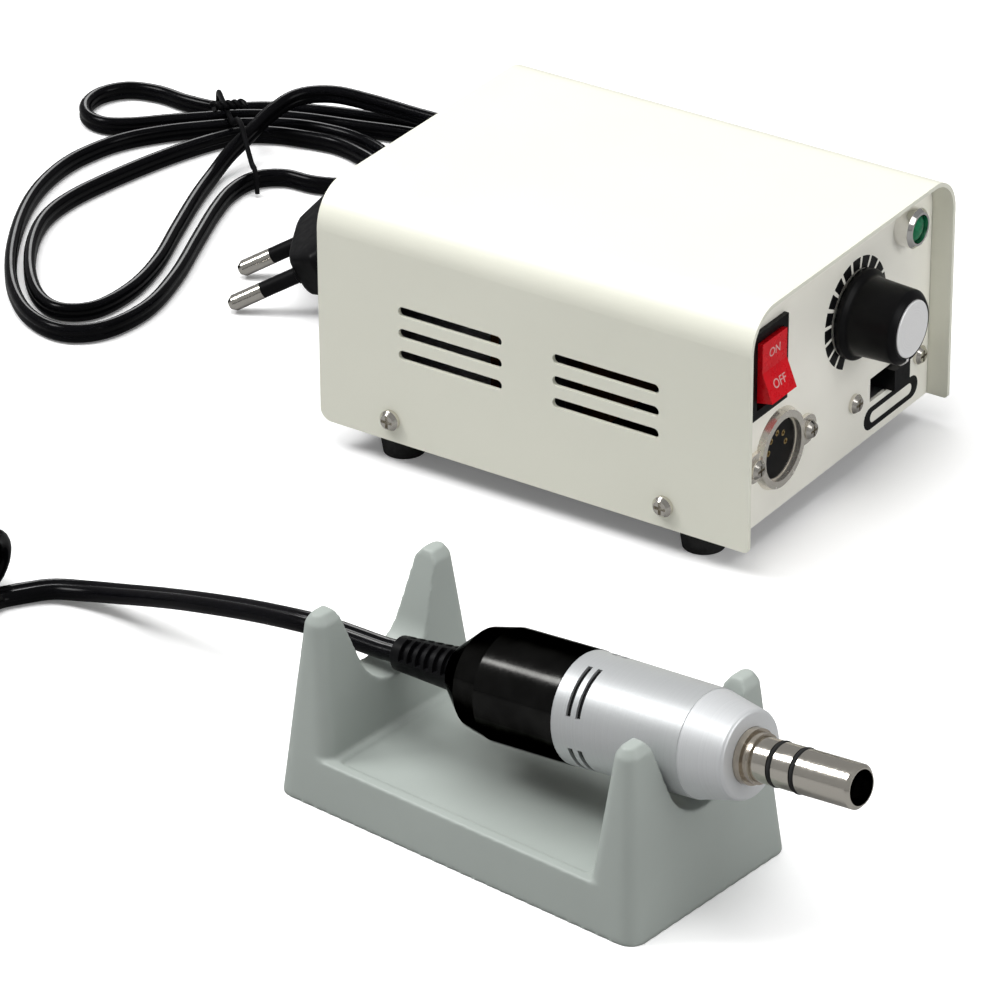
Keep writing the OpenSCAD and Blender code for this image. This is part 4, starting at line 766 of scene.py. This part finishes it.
def speed_knob():
    """Smooth tapered knob on a skirt, with a bright cap and a pointer line."""
    place = front_place(*KNOB_AT)
    sides = 96
    body = [
        (0.6, 6.5), (0.6, 10.7), (2.2, 10.7), (2.9, 9.45), (3.4, 9.2), (13.4, 8.75), (14.7, 7.5),
        (14.7, 6.8), (14.0, 6.8), (14.0, 3.1), (5.0, 3.1), (5.0, 6.5)
    ]
    mesh = placed(place, turned(eased(body, 0.35, 4), sides))
    grip = show("knob_grip", *mesh, KNOB_BLACK, "speed_knob", "knob_black")
    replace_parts(grip, "speed_knob")
    disc = [(14.1, 0.0), (14.1, 6.72), (14.85, 6.72), (15.0, 6.4), (14.9, 5.9), (14.95, 0.0)]
    bright = faced_aluminium((BOX_LEFT + KNOB_AT[0], PLATE_Y - KNOB_H, FOOT_H + KNOB_AT[1]))
    mesh = placed(place, turned(eased(disc, 0.12), sides))
    cap = show("knob_disc", *mesh, bright, "speed_knob", "knob_cap")
    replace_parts(cap, "knob_cap")
    knob_pointer(place)


def knob_pointer(place):
    """Raised line from the rim of the cap down the flank of the knob."""
    angle = math.radians(-104)
    way = np.array([math.cos(angle), math.sin(angle), 0])
    side = np.array([-way[1], way[0], 0])
    route = [(6.9, 14.72), (7.5, 14.74), (8.2, 14.2), (8.8, 13.5), (9.0, 10), (9.25, 4)]
    half = 0.45
    points, faces = [], []
    for r, h in route:
        for across in (-half, half):
            for lift in (-0.12, 0.05):
                points.append(way * (r + lift) + side * across + np.array([0, 0, h + lift]))
    for i in range(len(route) - 1):
        a, b = 4 * i, 4 * i + 4
        faces += [[a + 1, a + 3, b + 3, b + 1], [a, a + 1, b + 1, b], [a + 3, a + 2, b + 2, b + 3]]
    show("knob_pointer", *placed(place, (points, faces)), WHITE_INK, "speed_knob", "knob_cap")


def rocker_words():
    """ON and OFF on the two faces of the red key."""
    ink = faded_ink()
    off_middle, lift = 3.7, 0.02
    pivot = np.array([0, 0, -ROCKER_PIVOT])
    turn = np.array(Matrix.Rotation(-ROCKER_SWING / 2, 3, "X"))
    for word, sign in (("ON", 1), ("OFF", -1)):
        curve = bpy.data.curves.new("word_" + word, "FONT")
        curve.body = word
        curve.size = 3.0
        curve.align_x, curve.align_y = "CENTER", "CENTER"
        curve.extrude = 0.02
        flat = bpy.data.objects.new("word", curve)
        bpy.context.scene.collection.objects.link(flat)
        letters = bpy.data.meshes.new_from_object(flat.evaluated_get(bpy.context.evaluated_depsgraph_get()))
        points = np.array([v.co for v in letters.vertices])
        faces = [list(f.vertices) for f in letters.polygons]
        bpy.data.objects.remove(flat)
        lean = np.array(Matrix.Rotation(sign * ROCKER_SWING / 2, 3, "X"))
        height = ROCKER_VALLEY + off_middle * math.tan(ROCKER_SWING / 2) + lift
        middle = np.array([0, sign * off_middle, height])
        local = (points @ lean.T + middle - pivot) @ turn.T + pivot
        mesh = placed(front_place(*ROCKER_AT), (local, faces))
        show("word_" + word.lower(), *mesh, ink, "power_rocker", "rocker_red")


def pilot_lens():
    """Domed green lens."""
    rim_h, rise, radius = 2.7, 1.55, 3.32
    angles = np.linspace(0, 1.55, 10)
    dome = [(0.2, 3.3)] + [(rim_h + rise * math.sin(a), radius * math.cos(a)) for a in angles]
    mesh = placed(front_place(*LENS_AT), turned(dome, 48))
    lens = show("lens_dome", *mesh, green_lens(), "control_unit", "lens_green")
    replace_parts(lens, "pilot_lens")


panel_print()
speed_knob()
rocker_words()
pilot_lens()


# Stand and handpiece


def soft_stand():
    """The stand with its edges moulded round."""
    mesh = nodes["stand"].data.copy()
    mesh.materials.clear()
    stand = bpy.data.objects.new("stand_moulding", mesh)
    bpy.context.scene.collection.objects.link(stand)
    grid = stand.modifiers.new("grid", "REMESH")
    grid.mode = "VOXEL"
    grid.voxel_size = 0.4 * MM
    round_off = stand.modifiers.new("round_off", "SMOOTH")
    round_off.factor = 0.5
    round_off.iterations = 6
    shaped = bpy.data.meshes.new_from_object(stand.evaluated_get(bpy.context.evaluated_depsgraph_get()))
    stand.modifiers.clear()
    stand.data = shaped
    near_desk = 0.5 * MM
    for vertex in shaped.vertices:
        vertex.co.z = 0 if vertex.co.z < near_desk else vertex.co.z
    shaped.shade_smooth()
    shaped.materials.append(stand_plastic().material)
    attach(stand, "control_unit")
    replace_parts(stand, "stand")


def barrel_slot_painted_shade():
    """Painted shade in the barrel's cooling slots: dark strips on the slot floors stand in for the shade
    inside them, two in each of four groups round the barrel.
    """
    strips = []
    for turn in (42, 132, 222, 312):
        outline = arc_block(10.55, 11.4, turn, 55, 12)
        for start in (37.4, 39.9):
            strips.append(slab(outline, start + 0.05, start + 1.15))
    # Black sheets as painted shade, not a part of the barrel
    show("slot_painted_shade", *placed(HAND, merged(*strips)), BLACK_INK_AND_SHADE, "handpiece", "sleeve_black")


def lead_boot():
    """Tapered boot where the motor lead enters the sleeve, with rows of windows along its upper flanks."""
    stations, sides, count, depth = 120, 72, 6, 0.9
    along = np.linspace(-BOOT_LEN, 0, stations)
    angle = np.linspace(0, 2 * math.pi, sides, endpoint=False)
    phase = (along + BOOT_LEN - 1.4) / (BOOT_LEN - 2.2) * count
    in_row = (phase > 0) & (phase < count) & (phase % 1 > 0.42)
    off_side = np.abs(np.abs((angle + math.pi) % (2 * math.pi) - math.pi) - math.radians(135))
    in_window = off_side < math.radians(38)
    taper = 3.8 + 1.05 * (along + BOOT_LEN) / BOOT_LEN
    radius = taper[:, None] - depth * (in_row[:, None] & in_window[None, :])
    rings = np.stack([
        radius * np.cos(angle), radius * np.sin(angle), np.repeat(along[:, None], sides, axis=1)
    ], axis=2)
    neck = turned([(-0.2, 1.5), (-0.2, 3.2), (5.5, 3.2), (5.5, 1.5)], 56)
    mesh = placed(HAND, merged(skinned(rings), neck))
    piece = show("boot_ribs", *mesh, PLUG_BLACK, "handpiece", "plug_black")
    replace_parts(piece, "lead_boot")


soft_stand()
barrel_slot_painted_shade()
lead_boot()


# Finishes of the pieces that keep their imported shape

AXIS_WAY = tuple(AXIS)
FINISHES = [
    (cream_enamel(), ["top_cover"]),
    (zinc_sheet(), ["chassis", "foot_screws", "slide_switch", "pot_body", "pot_shaft", "board_standoffs",
                    "transformer_strap", "brush_springs"]),
    (plate_satin(), ["front_plate"]),
    (nickel(), ["cover_screws", "panel_screws", "pot_nut", "pilot_nut", "transformer_screws", "plug_pins",
                "bearings"]),
    (rubber(), ["rubber_feet", "o_rings"]),
    (black_plastic("switch_black", low=0.28, high=0.38), [
        "rocker_housing", "direction_slider", "socket_insert", "fuse_holder", "fuse_cap", "cord_bush",
        "capacitors", "semiconductors"]),
    (rocker_red(), ["power_rocker"]),
    (chrome(), ["pilot_bezel"]),
    (socket_nickel(), ["socket_shell"]),
    (spigot_nickel(hand_point(0), AXIS_WAY), ["spigot"]),
    (brass(), ["socket_contacts", "rocker_terminals", "motor_plug_pins"]),
    (sleeve_black(AXIS_WAY), ["rear_sleeve"]),
    (turned_aluminium("barrel_grey", (0.56, 0.575, 0.58), AXIS_WAY), ["front_barrel"]),
    (turned_aluminium("nose_silver", (0.73, 0.745, 0.755), AXIS_WAY), ["nose_cone"]),
    (collar_metal(AXIS_WAY), ["nose_collar"]),
    (inner("board_green", (0.03, 0.12, 0.05), 0.45), ["circuit_board"]),
    (inner("sink_aluminium", (0.6, 0.6, 0.62), 0.4, 1.0), ["heat_sink"]),
    (inner("fuse_glass", (0.7, 0.72, 0.72), 0.15), ["fuse"]),
    (inner("holder_tan", (0.55, 0.38, 0.16), 0.5), ["brush_holder"]),
    (inner("core_iron", (0.10, 0.10, 0.11), 0.5, 0.8), [
        "transformer_core", "motor_can", "magnets", "brushes", "rotor_shaft"]),
    (inner("winding_copper", (0.45, 0.20, 0.09), 0.4, 0.9), [
        "transformer_winding", "armature", "commutator"]),
]
for look, members in FINISHES:
    for name in members:
        nodes[name].data.materials.clear()
        nodes[name].data.materials.append(look.material)


# Floor and light


def pale_floor():
    """Floor that the camera sees white, with the shadows on it, and glowing far from the object.

    Light bounces off it as off a grey floor, and it is darker still in reflections.
    """
    mesh = bpy.data.meshes.new("floor")
    reach = 6.0
    corners = [(-reach, -reach, 0), (reach, -reach, 0), (reach, reach, 0), (-reach, reach, 0)]
    mesh.from_pydata(corners, [], [[0, 1, 2, 3]])
    floor = bpy.data.objects.new("floor", mesh)
    floor.location.z = -0.05 * MM
    look = Look("pale_floor", (0.5, 0.5, 0.5), 0.9, Specular_IOR_Level=0.1)
    look.set("Emission Color", (1, 1, 1, 1))
    path = look.add("ShaderNodeLightPath")
    mirrored = look.add("ShaderNodeMix", data_type="RGBA")
    mirrored.inputs["A"].default_value = (*look.colour, 1)
    mirrored.inputs["B"].default_value = (0.25, 0.25, 0.25, 1)
    look.link(path.outputs["Is Glossy Ray"], mirrored.inputs["Factor"])
    paint = look.add("ShaderNodeMix", data_type="RGBA")
    paint.inputs["B"].default_value = (1, 1, 1, 1)
    look.link(mirrored.outputs["Result"], paint.inputs["A"])
    look.link(path.outputs["Is Camera Ray"], paint.inputs["Factor"])
    look.link(paint.outputs["Result"], look.shader.inputs["Base Color"])
    far = look.add("ShaderNodeVectorMath", operation="LENGTH")
    look.link(look.place, far.inputs[0])
    glow = look.add("ShaderNodeMapRange")
    object_reach, horizon = 0.35, 1.2
    faint, white = 0.12, 1.0
    glow.inputs["From Min"].default_value = object_reach
    glow.inputs["From Max"].default_value = horizon
    glow.inputs["To Min"].default_value = faint
    glow.inputs["To Max"].default_value = white
    look.link(far.outputs["Value"], glow.inputs["Value"])
    seen = look.add("ShaderNodeMath", operation="MULTIPLY")
    look.link(glow.outputs["Result"], seen.inputs[0])
    look.link(path.outputs["Is Camera Ray"], seen.inputs[1])
    look.link(seen.outputs["Value"], look.shader.inputs["Emission Strength"])
    mesh.materials.append(look.material)
    bpy.context.scene.collection.objects.link(floor)


def soft_box(name, spot, aim, size, power):
    """Square lamp at a spot, turned towards the aim; metres and watts."""
    data = bpy.data.lights.new(name, "AREA")
    data.shape = "SQUARE"
    data.size = size
    data.energy = power
    lamp = bpy.data.objects.new(name, data)
    lamp.location = spot
    lamp.rotation_euler = (Vector(aim) - Vector(spot)).to_track_quat("-Z", "Y").to_euler()
    bpy.context.scene.collection.objects.link(lamp)
    return lamp


def lead_shine():
    """Lamp behind on the right that only draws the long highlights along the leads."""
    lamp = soft_box("lead_shine", (0.96, 0.79, 0.63), (0.02, 0.16, 0), 0.45, 5.5)
    lamp.visible_diffuse = False
    lit = bpy.data.collections.new("lit_leads")
    for lead in LEADS:
        lit.objects.link(lead)
    lamp.light_linking.receiver_collection = lit


def studio():
    """Key light from behind on the left, soft light from above, a weak fill from the front, a white world.

    The world is white to the camera, and a pale grey in reflections and as light.
    """
    soft_box("key", (-0.5, 0.84, 1.07), (-0.05, 0.03, 0), 0.42, 9)
    overhead = soft_box("overhead", (-0.1, 0.1, 1.3), (0.0, 0.05, 0), 1.2, 19)
    overhead.visible_glossy = False
    soft_box("front_fill", (0.1, -1.1, 0.45), (0.05, 0, 0.03), 0.7, 4.3)
    world = bpy.data.worlds.new("studio")
    bpy.context.scene.world = world
    world.use_nodes = True
    tree = world.node_tree
    background = tree.nodes["Background"]
    path = tree.nodes.new("ShaderNodeLightPath")
    ambient, sheen_extra = 0.2, 0.06
    level = tree.nodes.new("ShaderNodeMath")
    level.operation = "MULTIPLY_ADD"
    level.inputs[1].default_value = 1 - ambient
    level.inputs[2].default_value = ambient
    tree.links.new(path.outputs["Is Camera Ray"], level.inputs[0])
    sheen = tree.nodes.new("ShaderNodeMath")
    sheen.operation = "MULTIPLY_ADD"
    sheen.inputs[1].default_value = sheen_extra
    tree.links.new(path.outputs["Is Glossy Ray"], sheen.inputs[0])
    tree.links.new(level.outputs["Value"], sheen.inputs[2])
    tree.links.new(sheen.outputs["Value"], background.inputs["Strength"])
    background.inputs["Color"].default_value = (1, 1, 1, 1)
    bpy.context.scene.view_settings.view_transform = "Standard"


pale_floor()
studio()
lead_shine()
